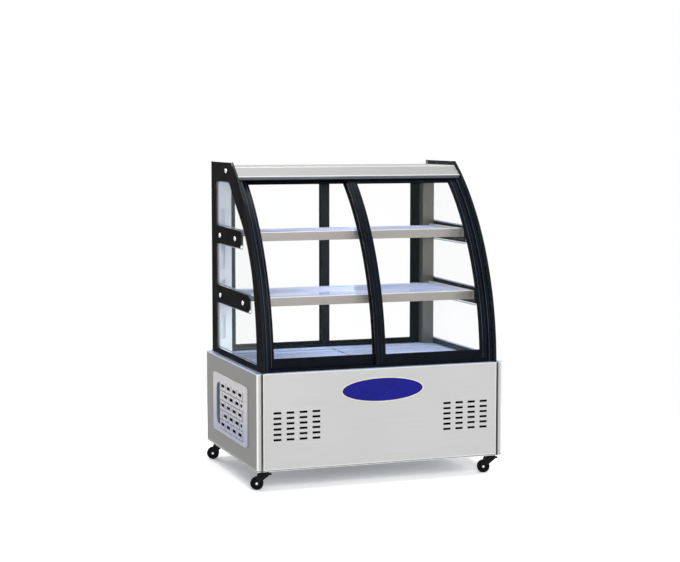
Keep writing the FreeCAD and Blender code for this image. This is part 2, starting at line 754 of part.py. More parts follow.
def front_panel():
    face_back = FRONT + s.skin
    depth = FRONT + s.tray_depth
    item = folded_panel("front_panel", FRONT, depth, face_back, depth)
    group_width = (s.louvre_columns - 1) * s.louvre_pitch + s.louvre_length
    low = s.louvre_low - s.louvre_height / 2
    outer = POST_IN - s.louvre_inset
    for start in (-outer, outer - group_width):
        outline = rectangle(start, low, start + s.louvre_length, low + s.louvre_height)
        slot = pocket(item, "Y", FRONT, face_back, outline)
        columns = ("H_Axis", s.louvre_pitch, s.louvre_columns)
        repeat(item, slot, columns, ("V_Axis", s.louvre_step, s.louvre_rows))


def rear_panel():
    face_front = BACK - s.skin
    depth = BACK - s.post_return
    item = folded_panel("rear_panel", depth, BACK, depth, face_front)
    low = s.rear_slot_low
    start = -(POST_IN - s.rear_slot_inset)
    outline = rectangle(start, low, start + s.rear_slot, low + s.rear_slot_height)
    slot = pocket(item, "Y", face_front, BACK, outline)
    groups = ("H_Axis", s.rear_slot + s.rear_slot_gap, s.rear_slot_groups)
    repeat(item, slot, groups, ("V_Axis", s.rear_slot_pitch, s.rear_slot_rows))
    half_width, half_height = s.box_half_width - s.box_rim, s.box_half_height - s.box_rim
    window = rectangle(
        BOX_X - half_width, s.box_z - half_height, BOX_X + half_width, s.box_z + half_height
    )
    pocket(item, "Y", face_front, BACK, window)


def side_panel(label, side):
    """A sheet folded round the front and rear corners into flat posts."""
    item = body(label)
    out, sheet = HALF_W, s.skin
    post, fold = HALF_W - s.post_width, s.post_return
    corners = (
        (post, FRONT + fold),
        (post, FRONT),
        (out, FRONT),
        (out, BACK),
        (post, BACK),
        (post, BACK - fold),
        (post + sheet, BACK - fold),
        (post + sheet, BACK - sheet),
        (out - sheet, BACK - sheet),
        (out - sheet, FRONT + sheet),
        (post + sheet, FRONT + sheet),
        (post + sheet, FRONT + fold),
    )
    pad(item, "Z", s.base_bottom, DECK_LOW, polygon(*[(x * side, y) for x, y in corners]))
    if side < 0:
        rim = s.grille_border
        hole = rectangle(
            -s.grille_front + rim, s.grille_low + rim, s.grille_back - rim, s.grille_high - rim
        )
        pocket(item, "X", -HALF_W, -HALF_W + s.skin, hole)
    keep(item, label)


def deck_tub():
    item = body("deck_tub")
    pad(item, "Z", DECK_LOW, s.base_top, rectangle(-HALF_W, FRONT, HALF_W, BACK))
    side, front, back = WELL_SIDE, WELL_FRONT, WELL_BACK
    pad(item, "Z", WELL_LOW - s.skin, DECK_LOW, rectangle(-side, front, side, back))
    inner = rectangle(-side + s.skin, front + s.skin, side - s.skin, back - s.skin)
    pocket(item, "Z", WELL_LOW, s.base_top, inner)
    keep(item, "deck_tub")


def tub_insulation():
    item = body("tub_insulation")
    side, front, back = WELL_SIDE, WELL_FRONT, WELL_BACK
    outer = rectangle(-side - s.foam, front - s.foam, side + s.foam, back + s.foam)
    pad(item, "Z", FOAM_LOW, DECK_LOW, outer)
    pocket(item, "Z", WELL_LOW - s.skin, DECK_LOW, rectangle(-side, front, side, back))
    keep(item, "tub_insulation")


def vent_grille():
    """A moulded plate with a finger scoop and louvres laid like bricks."""
    item = body("vent_grille")
    face = -HALF_W - s.grille_thick
    outline = rectangle(-s.grille_front, s.grille_low, s.grille_back, s.grille_high)
    pad(item, "X", face, -HALF_W, outline)
    dress(item, "Fillet", s.grille_corner, lambda edge: runs_along(edge, "x"))
    wall, back = s.scoop_wall, s.scoop_back
    cup = rectangle(s.scoop_front - wall, s.scoop_low - wall, back + wall, s.scoop_high + wall)
    pad(item, "X", -HALF_W, face + s.scoop_depth + wall, cup)
    scoop = rectangle(s.scoop_front, s.scoop_low, back, s.scoop_high)
    pocket(item, "X", face, face + s.scoop_depth, scoop)
    is_corner = lambda edge: runs_along(edge, "x") and near(edge.CenterOfMass.y, back)
    dress(item, "Fillet", s.scoop_corner, is_corner)
    front_brick = s.vent_first - 3 * s.brick_pitch
    even, odd = s.vent_high - 4 * s.brick_step, s.vent_high - 3 * s.brick_step
    width, slot = s.brick_width, s.vent_width
    louvre_course(item, face, front_brick, even, width, slot, 4, 3)
    louvre_course(item, face, front_brick + s.brick_pitch / 2, odd, width, slot, 3, 2)
    half = width - s.brick_pitch / 2
    edge = (width - half) / 2
    louvre_course(item, face, front_brick - edge, odd, half, slot / 2, 1, 2)
    louvre_course(item, face, s.vent_first + edge, odd, half, None, 1, 2)
    keep(item, "vent_grille")


def louvre_course(item, face, middle, level, width, slot_width, columns, rows):
    """Louvre faces that stand proud at the top and die into the plate, each under a slot.

    The first one is the lowest and nearest the front; every second course repeats it.
    """
    top, inside = level - s.vent_height / 2, face + s.grille_thick / 2
    profile = polygon(
        (inside, top - s.brick_height),
        (face, top - s.brick_height),
        (face - s.brick_raise, top),
        (inside, top),
    )
    upwards = ("V_Axis", 2 * s.brick_step, rows)
    raised = pad(item, "Y", middle - width / 2, middle + width / 2, profile)
    pattern = repeat(item, raised, *row_first("N_Axis", columns, upwards))
    pattern.Reversed = columns > 1
    if slot_width is None:
        return
    start = middle - slot_width / 2
    outline = rectangle(start, top, start + slot_width, top + s.vent_height)
    slot = pocket(item, "X", face - s.brick_raise, -HALF_W, outline)
    repeat(item, slot, *row_first("H_Axis", columns, upwards))


def row_first(axis, columns, upwards):
    return [(axis, s.brick_pitch, columns), upwards] if columns > 1 else [upwards]


# ---------------------------------------------------------------- glass structure
def side_glass(label, side):
    item = body(label)
    low, high = above_centre(s.base_top), above_centre(s.glass_top)
    outline = curve_plate(s.curve_radius, low, high, BACK - CURVE_Y)
    pad(item, "X", *span(side, GLASS_IN, GLASS_OUT), outline)
    behind = BACK - CURVE_Y

    def is_front_top(edge):
        place_on = edge.CenterOfMass
        return runs_along(edge, "x") and near(place_on.z, high) and not near(place_on.y, behind)

    dress(item, "Fillet", s.glass_corner, is_front_top)
    keep(on_curve(item), label)


def cut_tracks(item, start, stop, low, high):
    """The two curved channels in which the front doors run."""
    for face, back in TRACKS:
        channel = curve_band(face + s.track_play, back - s.track_play, low, high)
        pocket(item, "X", start, stop, channel)


def jamb(label, side):
    """A bent channel that takes the closing edges of both front doors."""
    item = body(label)
    low, high = above_centre(s.base_top), above_centre(HEADER_LOW)
    pad(item, "X", *span(side, JAMB_IN, GLASS_IN), curve_band(TRACK_OUT, TRACK_IN, low, high))
    channel = curve_band(OUTER_FACE + s.track_play, INNER_BACK - s.track_play, low, high)
    pocket(item, "X", *span(side, JAMB_IN, JAMB_IN + s.jamb_bite), channel)
    keep(on_curve(item), label)


def front_sill():
    item = body("front_sill")
    low, high = above_centre(s.base_top), above_centre(s.base_top + s.sill_height)
    pad(item, "X", -JAMB_IN, JAMB_IN, curve_band(TRACK_OUT, TRACK_IN, low, high))
    cut_tracks(item, -JAMB_IN, JAMB_IN, low + s.sill_plate, high)
    keep(on_curve(item), "front_sill")


def front_header():
    item = body("front_header")
    low, high = above_centre(HEADER_LOW), above_centre(HEADER_HIGH)
    pad(item, "X", -GLASS_IN, GLASS_IN, curve_band(TRACK_OUT, TRACK_IN, low, high))
    end = JAMB_IN + s.jamb_bite
    cut_tracks(item, -end, end, low, low + s.header_slot)
    keep(on_curve(item), "front_header")


def roof():
    """A sheet folded down over the front into a sloping fascia with a return lip."""
    item = body("roof")
    sheet = s.skin
    level, reach = above_centre(EAVE_Z), CURVE_Y - EAVE_Y
    lip = root(reach * reach + level * level) - TRACK_OUT - s.seat_gap
    slope = root(s.fascia_run * s.fascia_run + s.fascia_rise * s.fascia_rise)
    up_y, up_z = s.fascia_run / slope, s.fascia_rise / slope
    lip_y, lip_z = EAVE_Y + lip * up_z, EAVE_Z - lip * up_y
    profile = polygon(
        (BACK, ROOF_TOP),
        (CROWN, ROOF_TOP),
        (EAVE_Y, EAVE_Z),
        (lip_y, lip_z),
        (lip_y + sheet * up_y, lip_z + sheet * up_z),
        (EAVE_Y + sheet * (up_z + up_y), EAVE_Z + sheet * (up_z - up_y)),
        (CROWN + sheet * (slope - s.fascia_run) / s.fascia_rise, ROOF_LOW),
        (BACK, ROOF_LOW),
    )
    pad(item, "X", -GLASS_IN, GLASS_IN, profile)
    flange = rectangle(CROWN + s.flange_front, HEADER_HIGH, REAR_FRONT - s.flange_back, ROOF_LOW)
    for side in (-1, 1):
        pad(item, "X", *span(side, GLASS_IN - sheet, GLASS_IN), flange)
    keep(item, "roof")


def led_lamp():
    item = body("led_lamp")
    front, half = CROWN + s.lamp_setback, GLASS_IN - s.lamp_end
    back, low = front + s.lamp_width, ROOF_LOW - s.lamp_height
    profile = polygon(
        (front, ROOF_LOW),
        (back, ROOF_LOW),
        (back - s.lamp_taper, low),
        (front + s.lamp_taper, low),
    )
    pad(item, "X", -half, half, profile)
    keep(item, "led_lamp")


# ---------------------------------------------------------------- front doors
def front_door(side):
    """A bent frame and the bent pane that stands in its opening."""
    name = "right" if side > 0 else "left"
    face, back = TRACKS[0] if side > 0 else TRACKS[1]
    low, high = above_centre(DOOR_LOW), above_centre(DOOR_HIGH)
    sill, lintel = above_centre(s.base_top + s.door_rail), above_centre(LINTEL)
    meeting, stile = s.mullion_width / 2, DOOR_END - s.stile_width
    item = body(f"front_door_{name}_frame")
    pad(item, "X", *span(side, -meeting, DOOR_END), curve_band(face, back, low, high))
    start, stop = span(side, meeting, stile)
    pocket(item, "Y", -face, 0, rectangle(start, sill, stop, lintel))
    keep(on_curve(item), f"front_door_{name}_frame")

    pane = body(f"front_door_{name}_pane")
    middle, half, play = (face + back) / 2, s.pane_thick / 2, s.pane_play
    outline = curve_band(middle + half, middle - half, sill, lintel - play)
    pad(pane, "X", start + play, stop - play, outline)
    keep(on_curve(pane), f"front_door_{name}_pane")


# ---------------------------------------------------------------- rear frame and doors
def rear_track(index):
    """Front face of one of the two rear door channels."""
    return REAR_FRONT + s.rear_track + index * (s.door_thick + 2 * s.rear_play + s.rear_web)


def rear_frame():
    item = body("rear_frame")
    pad(item, "Y", REAR_FRONT, BACK, rectangle(-GLASS_IN, s.base_top, GLASS_IN, ROOF_LOW))
    opening = rectangle(-REAR_IN, s.base_top + s.rear_sill, REAR_IN, REAR_OPEN)
    pocket(item, "Y", REAR_FRONT, BACK, opening)
    for index in range(2):
        front = rear_track(index)
        channel = rectangle(-REAR_END, REAR_LOW, REAR_END, REAR_SLOT)
        pocket(item, "Y", front, front + s.door_thick + 2 * s.rear_play, channel)
    keep(item, "rear_frame")


def rear_door(side):
    """A flat frame with a finger pull in its outer stile, and its pane."""
    name = "right" if side > 0 else "left"
    front = rear_track(0 if side > 0 else 1) + s.rear_play
    back = front + s.door_thick
    low, high = REAR_LOW + s.door_lift, REAR_SLOT - s.rear_headroom
    end, meeting = REAR_END - s.door_lift, s.rear_meeting / 2
    sill, lintel = low + s.rear_door_rail, REAR_OPEN - s.rear_head
    item = body(f"rear_door_{name}_frame")
    edges = span(side, -meeting, end)
    pad(item, "Y", front, back, rectangle(edges[0], low, edges[1], high))
    start, stop = span(side, meeting, end - s.rear_stile)
    pocket(item, "Y", front, back, rectangle(start, sill, stop, lintel))
    bite, play = s.pane_bite, s.pane_play
    middle, half = (front + back) / 2, s.rear_pane / 2
    groove = rectangle(start - bite, sill - bite, stop + bite, lintel + bite)
    pocket(item, "Y", middle - half - play, middle + half + play, groove)
    centre = (REAR_IN + end - s.rear_stile) / 2
    pull = span(side, centre - s.pull_width / 2, centre + s.pull_width / 2)
    bottom = s.pull_level - s.pull_height / 2
    grip = rectangle(pull[0], bottom, pull[1], bottom + s.pull_height)
    pocket(item, "Y", back - s.pull_depth, back, grip)
    keep(item, f"rear_door_{name}_frame")

    pane = body(f"rear_door_{name}_pane")
    outline = rectangle(start - bite + play, sill - bite, stop + bite - play, lintel + bite - play)
    pad(pane, "Y", middle - half, middle + half, outline)
    keep(pane, f"rear_door_{name}_pane")


# ---------------------------------------------------------------- shelves
def comb(left, right, front, back, low, gaps):
    """Parallel wires that run from a front bar to open rear ends."""
    item = body("comb")
    high = low + s.wire
    pad(item, "Z", low, high, rectangle(left, front, right, back))
    pitch = (right - left - s.wire) / gaps
    outline = rectangle(left + s.wire, front + s.rack_bar, left + pitch, back)
    slot = pocket(item, "Z", low, high, outline)
    repeat(item, slot, ("H_Axis", pitch, gaps))
    return item


def cross_rods(left, right, front, back, low):
    """Three rods under the wires."""
    rods = []
    for index in range(3):
        start = front + index * (back - front - s.rack_bar) / 2
        rods.append(box("rod", (left, start, low), (right, start + s.rack_bar, low + s.wire)))
    return rods


def shelf_front(top, room):
    """A shelf's front edge, clear of the door tracks' inner face."""
    return curve_front(TRACK_IN, top) + room


def shelf(name, top, front):
    """A folded tray frame: deep front rail, ledges at both sides and a rear angle."""
    item = body(f"{name}_shelf")
    half, sheet, back = SHELF_SIDE, s.skin, SHELF_BACK
    low, ledge, inset = top - s.shelf_rail, top - LEDGE_DROP, s.shelf_ledge
    rail = polygon(
        (front, top),
        (front + s.shelf_lip, top),
        (front + s.shelf_lip, top - sheet),
        (front + sheet, top - sheet),
        (front + sheet, low + sheet),
        (front + s.shelf_lip, low + sheet),
        (front + s.shelf_lip, low),
        (front, low),
    )
    pad(item, "X", -half, half, rail)
    for side in (-1, 1):
        angle = polygon(
            (side * half, top),
            (side * half, ledge - sheet),
            (side * (half - inset), ledge - sheet),
            (side * (half - inset), ledge),
            (side * (half - sheet), ledge),
            (side * (half - sheet), top),
        )
        pad(item, "Y", front, back, angle)
    rear = polygon(
        (back, ledge),
        (back, ledge - inset),
        (back - sheet, ledge - inset),
        (back - sheet, ledge - sheet),
        (back - inset, ledge - sheet),
        (back - inset, ledge),
    )
    pad(item, "X", -half, half, rear)
    keep(item, f"{name}_shelf")


def shelf_rack(name, top, front):
    half = SHELF_SIDE - s.skin - s.wire_margin
    start, back = front + s.skin + s.rack_gap, SHELF_BACK - s.rack_gap
    low = top - LEDGE_DROP
    wires = comb(-half, half, start, back, low + s.wire, s.wire_gaps)
    rods = cross_rods(-half, half, front + s.shelf_lip, back - s.rack_bar, low)
    keep(group(f"{name}_rack", wires, *rods), f"{name}_rack")


def floor_racks():
    """Two racks that lie on the deck over the cold well, their rods hanging into it."""
    parts = []
    front, back = WELL_FRONT - s.floor_overlap, WELL_BACK + s.floor_overlap
    rod_front, rod_back = WELL_FRONT + s.floor_overlap, WELL_BACK - s.floor_overlap
    for side in (-1, 1):
        left, right = span(side, s.floor_rack_gap, WELL_SIDE - s.floor_rack_side)
        parts.append(comb(left, right, front, back, s.base_top, s.wire_gaps / 2))
        parts += cross_rods(left, right, rod_front, rod_back, s.base_top - s.wire)
    keep(group("floor_racks", *parts), "floor_racks")


def brackets(name, top, front):
    """A pair of angles on the side glasses; the shelf's ledges lie on their legs."""
    pair = []
    sheet, back = s.bracket_sheet, DUCT_FRONT - s.bracket_rear
    start = front + s.bracket_setback
    high = top - s.bracket_drop
    seat = top - LEDGE_DROP - s.skin
    for side in (-1, 1):
        item = body("bracket")
        plate = rectangle(start, high - s.bracket_height, back, high)
        pad(item, "X", *span(side, GLASS_IN - sheet, GLASS_IN), plate)
        at_front = lambda edge: runs_along(edge, "x") and near(edge.CenterOfMass.y, start)
        dress(item, "Fillet", s.bracket_corner, at_front)
        inner, outer = GLASS_IN - sheet - s.bracket_leg, GLASS_IN - sheet
        leg_back = SHELF_BACK - s.skin - s.seat_gap
        leg = rectangle(side * inner, start + s.bracket_corner, side * outer, leg_back)
        pad(item, "Z", seat - sheet, seat, leg)
        pair.append(item)
    keep(group(f"{name}_brackets", *pair), f"{name}_brackets")


def side_duct(label, side):
    """An open-backed channel in the rear corner, with outlets on the left only."""
    item = body(label)
    front, back = DUCT_FRONT, REAR_FRONT
    inner = GLASS_IN - s.duct_width
    low, high, wall = s.base_top, DUCT_TOP, s.duct_wall
    pad(item, "Y", front, back, rectangle(side * inner, low, side * GLASS_IN, high))
    is_corner = lambda edge: runs_along(edge, "y") and near(edge.CenterOfMass.x, side * inner)
    top_corner = lambda edge: is_corner(edge) and near(edge.CenterOfMass.z, high)
    dress(item, "Fillet", s.duct_corner, top_corner)
    hollow = rectangle(side * (inner + wall), low, side * (GLASS_IN - wall), high - s.duct_corner)
    pocket(item, "Y", front + wall, back, hollow)
    if side < 0:
        middle = -(GLASS_IN - s.outlet_edge)
        start = low + s.outlet_low
        room = high - s.outlet_room - s.outlet_height - start
        outlet = obround(middle, start, start + s.outlet_height, s.outlet_width)
        slot = pocket(item, "Y", front, front + wall, outlet)
        repeat(item, slot, ("V_Axis", room / (s.outlet_count - 1), s.outlet_count))
    keep(item, label)


# ---------------------------------------------------------------- cooling machinery
COIL_IN = HALF_W - s.coil_inset - s.coil_depth
COIL_TOP = FOAM_LOW - s.coil_room
FAN_AXIS = (TRAY_TOP + COIL_TOP) / 2
FAN_RADIUS = FAN_AXIS - TRAY_TOP - s.throat_margin - s.fan_gap
SHROUD_IN = COIL_IN - s.shroud_depth
PIPE_LEVEL = FOAM_LOW - s.pipe_room
POT_TOP = PIPE_LEVEL - s.pipe_rise


def finned_coil(label, axis, start, stop, half, low, high, gaps):
    """Fin packs between end plates, open from face to face."""
    item = body(label)
    pad(item, axis, start, stop, rectangle(-half, low, half, high))
    pitch = (2 * half - s.fin_thick) / gaps
    frame = s.coil_frame
    window = rectangle(-half + s.fin_thick, low + frame, -half + pitch, high - frame)
    slot = pocket(item, axis, start, stop, window)
    repeat(item, slot, ("H_Axis", pitch, gaps))
    return item


def condenser():
    outer = -(HALF_W - s.coil_inset)
    item = finned_coil("condenser", "X", outer, -COIL_IN, s.coil_half, TRAY_TOP, COIL_TOP, s.coil_fins)
    header = rectangle(
        s.pot_y - s.header_half, COIL_TOP, s.pot_y + s.header_half, FOAM_LOW - s.header_room
    )
    pad(item, "X", outer, -COIL_IN, header)
    keep(item, "condenser")


def evaporator():
    back = WELL_BACK - s.skin - s.cooler_back
    top = WELL_LOW + s.cooler_height
    half, front = s.cooler_half, back - s.cooler_depth
    item = finned_coil("evaporator", "Y", front, back, half, WELL_LOW, top, s.cooler_fins)
    keep(item, "evaporator")


def fan_shroud():
    """A shallow sheet box behind the condenser with a round throat and two arms for the motor."""
    item = body("fan_shroud")
    face = -SHROUD_IN - s.skin
    half, sheet = s.coil_half, s.skin
    pad(item, "X", -COIL_IN, -SHROUD_IN, rectangle(-half, TRAY_TOP, half, COIL_TOP))
    inner = rectangle(-half + sheet, TRAY_TOP + sheet, half - sheet, COIL_TOP - sheet)
    pocket(item, "X", -COIL_IN, face, inner)
    pocket(item, "X", face, -SHROUD_IN, disc(0, FAN_AXIS, FAN_RADIUS + s.fan_gap))
    arms = []
    for side in (-1, 1):
        inner_edge = FAN_AXIS + side * s.nose_half
        arms.append(rectangle(-half, inner_edge, half, inner_edge + side * s.arm_width))
    pad(item, "X", -SHROUD_IN, -SHROUD_IN + s.arm_sheet, *arms)
    keep(item, "fan_shroud")


def decagon(size):
    """A ten-sided outline about the origin, two sides to each of five blades."""
    angles = [math.radians(9 + 36 * index) for index in range(10)]
    return polygon(*[(size * math.cos(angle), size * math.sin(angle)) for angle in angles])


def fan(label, axis, start, stop, hub, size, chord):
    """A faceted hub with pitched blades, drawn about the body's own axis."""
    item = body(label)
    pad(item, axis, start, stop, decagon(hub))
    tip = root(size * size - chord * chord / 4)
    base = hub * 0.8
    outline = polygon((-chord / 4, base), (chord / 4, base), (chord / 2, tip), (-chord / 2, tip))
    middle = (start + stop) / 2
    sketch = draw_on(item, axis, middle, middle, [outline])
    pitch = FreeCAD.Rotation(VEC(0, 1, 0), 30)
    sketch.AttachmentOffset = FreeCAD.Placement(sketch.AttachmentOffset.Base, pitch)
    blade = extend(item, "Pad", sketch, s.blade_thick)
    around(item, blade, s.fan_blades)
    return keep(item, label)


def condenser_fan():
    """The condenser's fan and its motor, whose nose passes between the shroud's arms."""
    hub_end = -SHROUD_IN - s.hub_gap
    start = hub_end - s.hub_length
    item = fan("condenser_fan", "X", start, hub_end, s.fan_hub, FAN_RADIUS, s.fan_chord)
    place(item, 0, 0, FAN_AXIS)
    engine = body("condenser_fan_motor")
    face = -SHROUD_IN + s.arm_sheet
    half, nose = s.motor_half, s.nose_half
    pad(engine, "X", face, face + s.motor_length, rectangle(-half, -half, half, half))
    pad(engine, "X", hub_end + s.turning_gap, face, rectangle(-nose, -nose, nose, nose))
    place(keep(engine, "condenser_fan_motor"), 0, 0, FAN_AXIS)


def evaporator_fan():
    """A small fan in front of the evaporator, its motor standing in the well."""
    coil_front = WELL_BACK - s.skin - s.cooler_back - s.cooler_depth
    hub_end = coil_front - s.blower_gap
    start = hub_end - s.blower_length
    item = fan("evaporator_fan", "Y", start, hub_end, s.blower_hub, s.blower_radius, s.blower_chord)
    axis_z = WELL_LOW + s.blower_lift
    place(item, 0, 0, axis_z)
    engine = body("evaporator_fan_motor")
    back, half = start - s.turning_gap, s.blower_half
    front = back - s.blower_body
    pad(engine, "Y", front, back, rectangle(-half, -half, half, half))
    foot = rectangle(-half, -s.blower_lift, half, -half)
    pad(engine, "Y", front, front + s.arm_sheet, foot)
    place(keep(engine, "evaporator_fan_motor"), 0, 0, axis_z)


def compressor():
    """A hermetic pot on a plate with four rubber feet."""
    item = body("compressor")
    half, foot = s.mount_half, s.foot_side
    plate = TRAY_TOP + s.pot_foot
    feet = [
        rectangle(x, y, x + foot, y + foot)
        for x in (-half, half - foot)
        for y in (-half, half - foot)
    ]
    pad(item, "Z", plate, plate + s.mount_sheet, rectangle(-half, -half, half, half))
    pad(item, "Z", TRAY_TOP, plate, *feet)
    pad(item, "Z", plate + s.mount_sheet, POT_TOP, disc(0, 0, s.pot_radius))
    keep(place(item, -s.pot_x, s.pot_y, 0), "compressor")


def refrigerant_pipes():
    """The discharge pipe turns in a fitting to the condenser's header; the suction pipe rises to the well."""
    size, half = s.pipe_radius, s.fitting / 2
    hot, cold = -s.pot_x - s.pipe_offset, -s.pot_x + s.pipe_offset
    along, level = s.pot_y, PIPE_LEVEL
    upright = rod("discharge_riser", "Z", (hot, along, POT_TOP), size, s.pipe_rise - half)
    low, high = (hot - half, along - half, level - half), (hot + half, along + half, level + half)
    fitting = box("discharge_fitting", low, high)
    run = rod("discharge_run", "X", (-COIL_IN, along, level), size, hot - half + COIL_IN)
    discharge = fuse("discharge_pipe", upright, fitting, run)
    suction = rod("suction_riser", "Z", (cold, along, POT_TOP), size, FOAM_LOW - POT_TOP)
    keep(group("refrigerant_pipes", discharge, suction), "refrigerant_pipes")


def drip_tray():
    item = body("drip_tray")
    half, wall, middle = s.tray_half, s.tray_wall, s.tray_x
    high = TRAY_TOP + s.tray_height
    pad(item, "Z", TRAY_TOP, high, rectangle(middle - half, -half, middle + half, half))
    inner = half - wall
    hollow = rectangle(middle - inner, -inner, middle + inner, inner)
    pocket(item, "Z", TRAY_TOP + wall, high, hollow)
    keep(item, "drip_tray")


def control_box():
    """An electrical box behind the rear panel's window: a blank controller, rocker wells, mains inlet."""
    item = body("control_box")
    face = BACK - s.skin
    wide, tall = s.box_half_width, s.box_half_height
    outline = rectangle(BOX_X - wide, s.box_z - tall, BOX_X + wide, s.box_z + tall)
    pad(item, "Y", face - s.box_depth, face, outline)
    middle = BOX_X + s.bezel_x
    wide, tall = s.bezel_half_width, s.bezel_half_height
    bezel = rectangle(middle - wide, s.box_z - tall, middle + wide, s.box_z + tall)
    pad(item, "Y", face, face + s.bezel_raise, bezel)
    half_width = s.rocker_half_width + s.rocker_gap
    half_height = s.rocker_half_height + s.rocker_swing_gap
    wells = []
    for index in range(2):
        x = rocker_place(index)
        low, high = s.box_z - half_height, s.box_z + half_height
        wells.append(rectangle(x - half_width, low, x + half_width, high))
    pocket(item, "Y", face - s.rocker_well, face, *wells)
    middle, centre = BOX_X + s.inlet_x, s.box_z - s.inlet_z
    wide, tall = s.inlet_width / 2, s.inlet_height / 2
    socket = rectangle(middle - wide, centre - tall, middle + wide, centre + tall)
    pocket(item, "Y", face - s.inlet_depth, face, socket)
    keep(item, "control_box")


def rocker_place(index):
    return BOX_X - s.rocker_x + index * s.rocker_pitch


def rocker(index):
    """A rocker with a shallow hollow face, tipped to one side."""
    item = body(f"rocker_{index + 1}")
    half = s.rocker_half_height
    profile = polygon(
        (-s.rocker_back, -half),
        (s.rocker_face, -half),
        (s.rocker_waist, 0),
        (s.rocker_face, half),
        (-s.rocker_back, half),
    )
    pad(item, "X", -s.rocker_half_width, s.rocker_half_width, profile)
    item.Placement.Rotation = FreeCAD.Rotation(VEC(1, 0, 0), -float(s.rocker_tilt))
    place(item, rocker_place(index), BACK - s.skin - s.rocker_sink, s.box_z)
    keep(item, f"rocker_{index + 1}")


# ---------------------------------------------------------------- casters
FORK_TOP = s.base_bottom - s.plate_thick - s.swivel_gap
AXLE = s.wheel_radius
CHEEK_IN = s.wheel_width / 2 + s.wheel_play
CHEEK_OUT = CHEEK_IN + s.fork_cheek
CORNERS = tuple((x, y) for y in (-1, 1) for x in (-1, 1))


def corner_name(x, y):
    return f"{'front' if y < 0 else 'rear'}_{'left' if x < 0 else 'right'}"


def swivel_axis(x, y):
    return x * (HALF_W - s.caster_inset_x), y * (BACK - s.caster_inset_y)


def turn_to_heading(item, x, y):
    """Turn a caster part about its swivel axis to the direction in which it trails."""
    item.Placement.Rotation = FreeCAD.Rotation(VEC(0, 0, 1), float(s.caster_heading))
    item.setExpression("Placement.Rotation.Angle", s.caster_heading.text)
    return place(item, *swivel_axis(x, y), 0)


def caster_plates():
    plates = []
    half, high = s.caster_plate / 2, s.base_bottom
    low = high - s.plate_thick
    for x, y in CORNERS:
        across, along = swivel_axis(x, y)
        corner, opposite = (across - half, along - half, low), (across + half, along + half, high)
        plates.append(box("plate", corner, opposite))
    keep(group("caster_plates", *plates), "caster_plates")


def fork(x, y):
    """A pressed fork: crown, two cheeks that trail to the wheel, and the axle between them."""
    label = f"caster_fork_{corner_name(x, y)}"
    item = body(label)
    trail, boss = s.caster_trail, s.fork_boss
    cheek = polygon(
        (-s.fork_lead, FORK_TOP),
        (-s.fork_lead, FORK_TOP - s.fork_skirt),
        (trail - boss, AXLE),
        (trail - boss / 2, AXLE - boss),
        (trail + boss / 2, AXLE - boss),
        (trail + boss, AXLE),
        (s.fork_tail, FORK_TOP),
    )
    pad(item, "Y", -CHEEK_OUT, CHEEK_OUT, cheek)
    under = FORK_TOP - s.fork_crown
    space = rectangle(-s.fork_lead, AXLE - boss, trail + boss, under)
    pocket(item, "Y", -CHEEK_IN, CHEEK_IN, space)
    pad(item, "Y", -CHEEK_IN, CHEEK_IN, disc(trail, AXLE, s.axle_radius))
    keep(turn_to_heading(item, x, y), label)


def wheel(x, y):
    label = f"caster_wheel_{corner_name(x, y)}"
    item = body(label)
    half = s.wheel_width / 2
    pad(item, "Y", -half, half, disc(s.caster_trail, AXLE, s.wheel_radius))
    pocket(item, "Y", -half, half, disc(s.caster_trail, AXLE, s.axle_radius + s.pin_play))
    keep(turn_to_heading(item, x, y), label)


def brake_pedal(x, y):
    """A lever between the cheeks: the pedal in front, the shoe against the tyre."""
    label = f"brake_pedal_{corner_name(x, y)}"
    item = body(label)
    pivot_x, pivot_z = -s.pedal_pivot, FORK_TOP - s.fork_crown - s.pedal_drop
    run, drop = s.caster_trail - pivot_x, AXLE - pivot_z
    distance = root(run * run + drop * drop)
    to_x, to_z = run / distance, drop / distance
    arm = distance - s.wheel_radius - s.shoe_gap
    tip_x, tip_z = pivot_x + to_x * arm, pivot_z + to_z * arm
    half, eye = s.shoe_width / 2, s.pedal_eye
    toe = pivot_x - s.pedal_reach
    profile = polygon(
        (toe, pivot_z + s.pedal_thick / 2),
        (toe, pivot_z - s.pedal_thick / 2),
        (pivot_x + to_z * eye, pivot_z - to_x * eye),
        (tip_x + to_z * half, tip_z - to_x * half),
        (tip_x - to_z * half, tip_z + to_x * half),
        (pivot_x - to_z * eye, pivot_z + to_x * eye),
    )
    width = CHEEK_IN - s.pedal_play
    pad(item, "Y", -width, width, profile)
    keep(turn_to_heading(item, x, y), label)


# ---------------------------------------------------------------- assembly
def build():
    chassis_tray()
    front_panel()
    rear_panel()
    deck_tub()
    tub_insulation()
    vent_grille()
    for side, name in ((-1, "left"), (1, "right")):
        side_panel(f"side_panel_{name}", side)
        side_glass(f"side_glass_{name}", side)
        jamb(f"front_jamb_{name}", side)
        side_duct(f"side_duct_{name}", side)
        front_door(side)
        rear_door(side)
    front_sill()
    front_header()
    roof()
    led_lamp()
    rear_frame()
    for name, top, room in (
        ("upper", s.upper_shelf, s.upper_room),
        ("middle", s.middle_shelf, s.middle_room),
    ):
        front = shelf_front(top, room)
        shelf(name, top, front)
        shelf_rack(name, top, front)
        brackets(name, top, front)
    floor_racks()
    condenser()
    evaporator()
    fan_shroud()
    condenser_fan()
    evaporator_fan()
    compressor()
    refrigerant_pipes()
    drip_tray()
    control_box()
    for index in range(2):
        rocker(index)
    caster_plates()
    for x, y in CORNERS:
        fork(x, y)
        wheel(x, y)
        if y < 0:
            brake_pedal(x, y)


def check():
    """Stop before writing anything if an object or a finished shape is not sound."""
    for item in DOC.Objects:
        if {"Invalid", "Error"} & set(item.State):
            raise RuntimeError(f"{item.Label} did not compute: {item.State}")
    for item in NODES:
        if item.Shape.isNull() or not item.Shape.isValid():
            raise RuntimeError(f"{item.Label} has no valid shape")


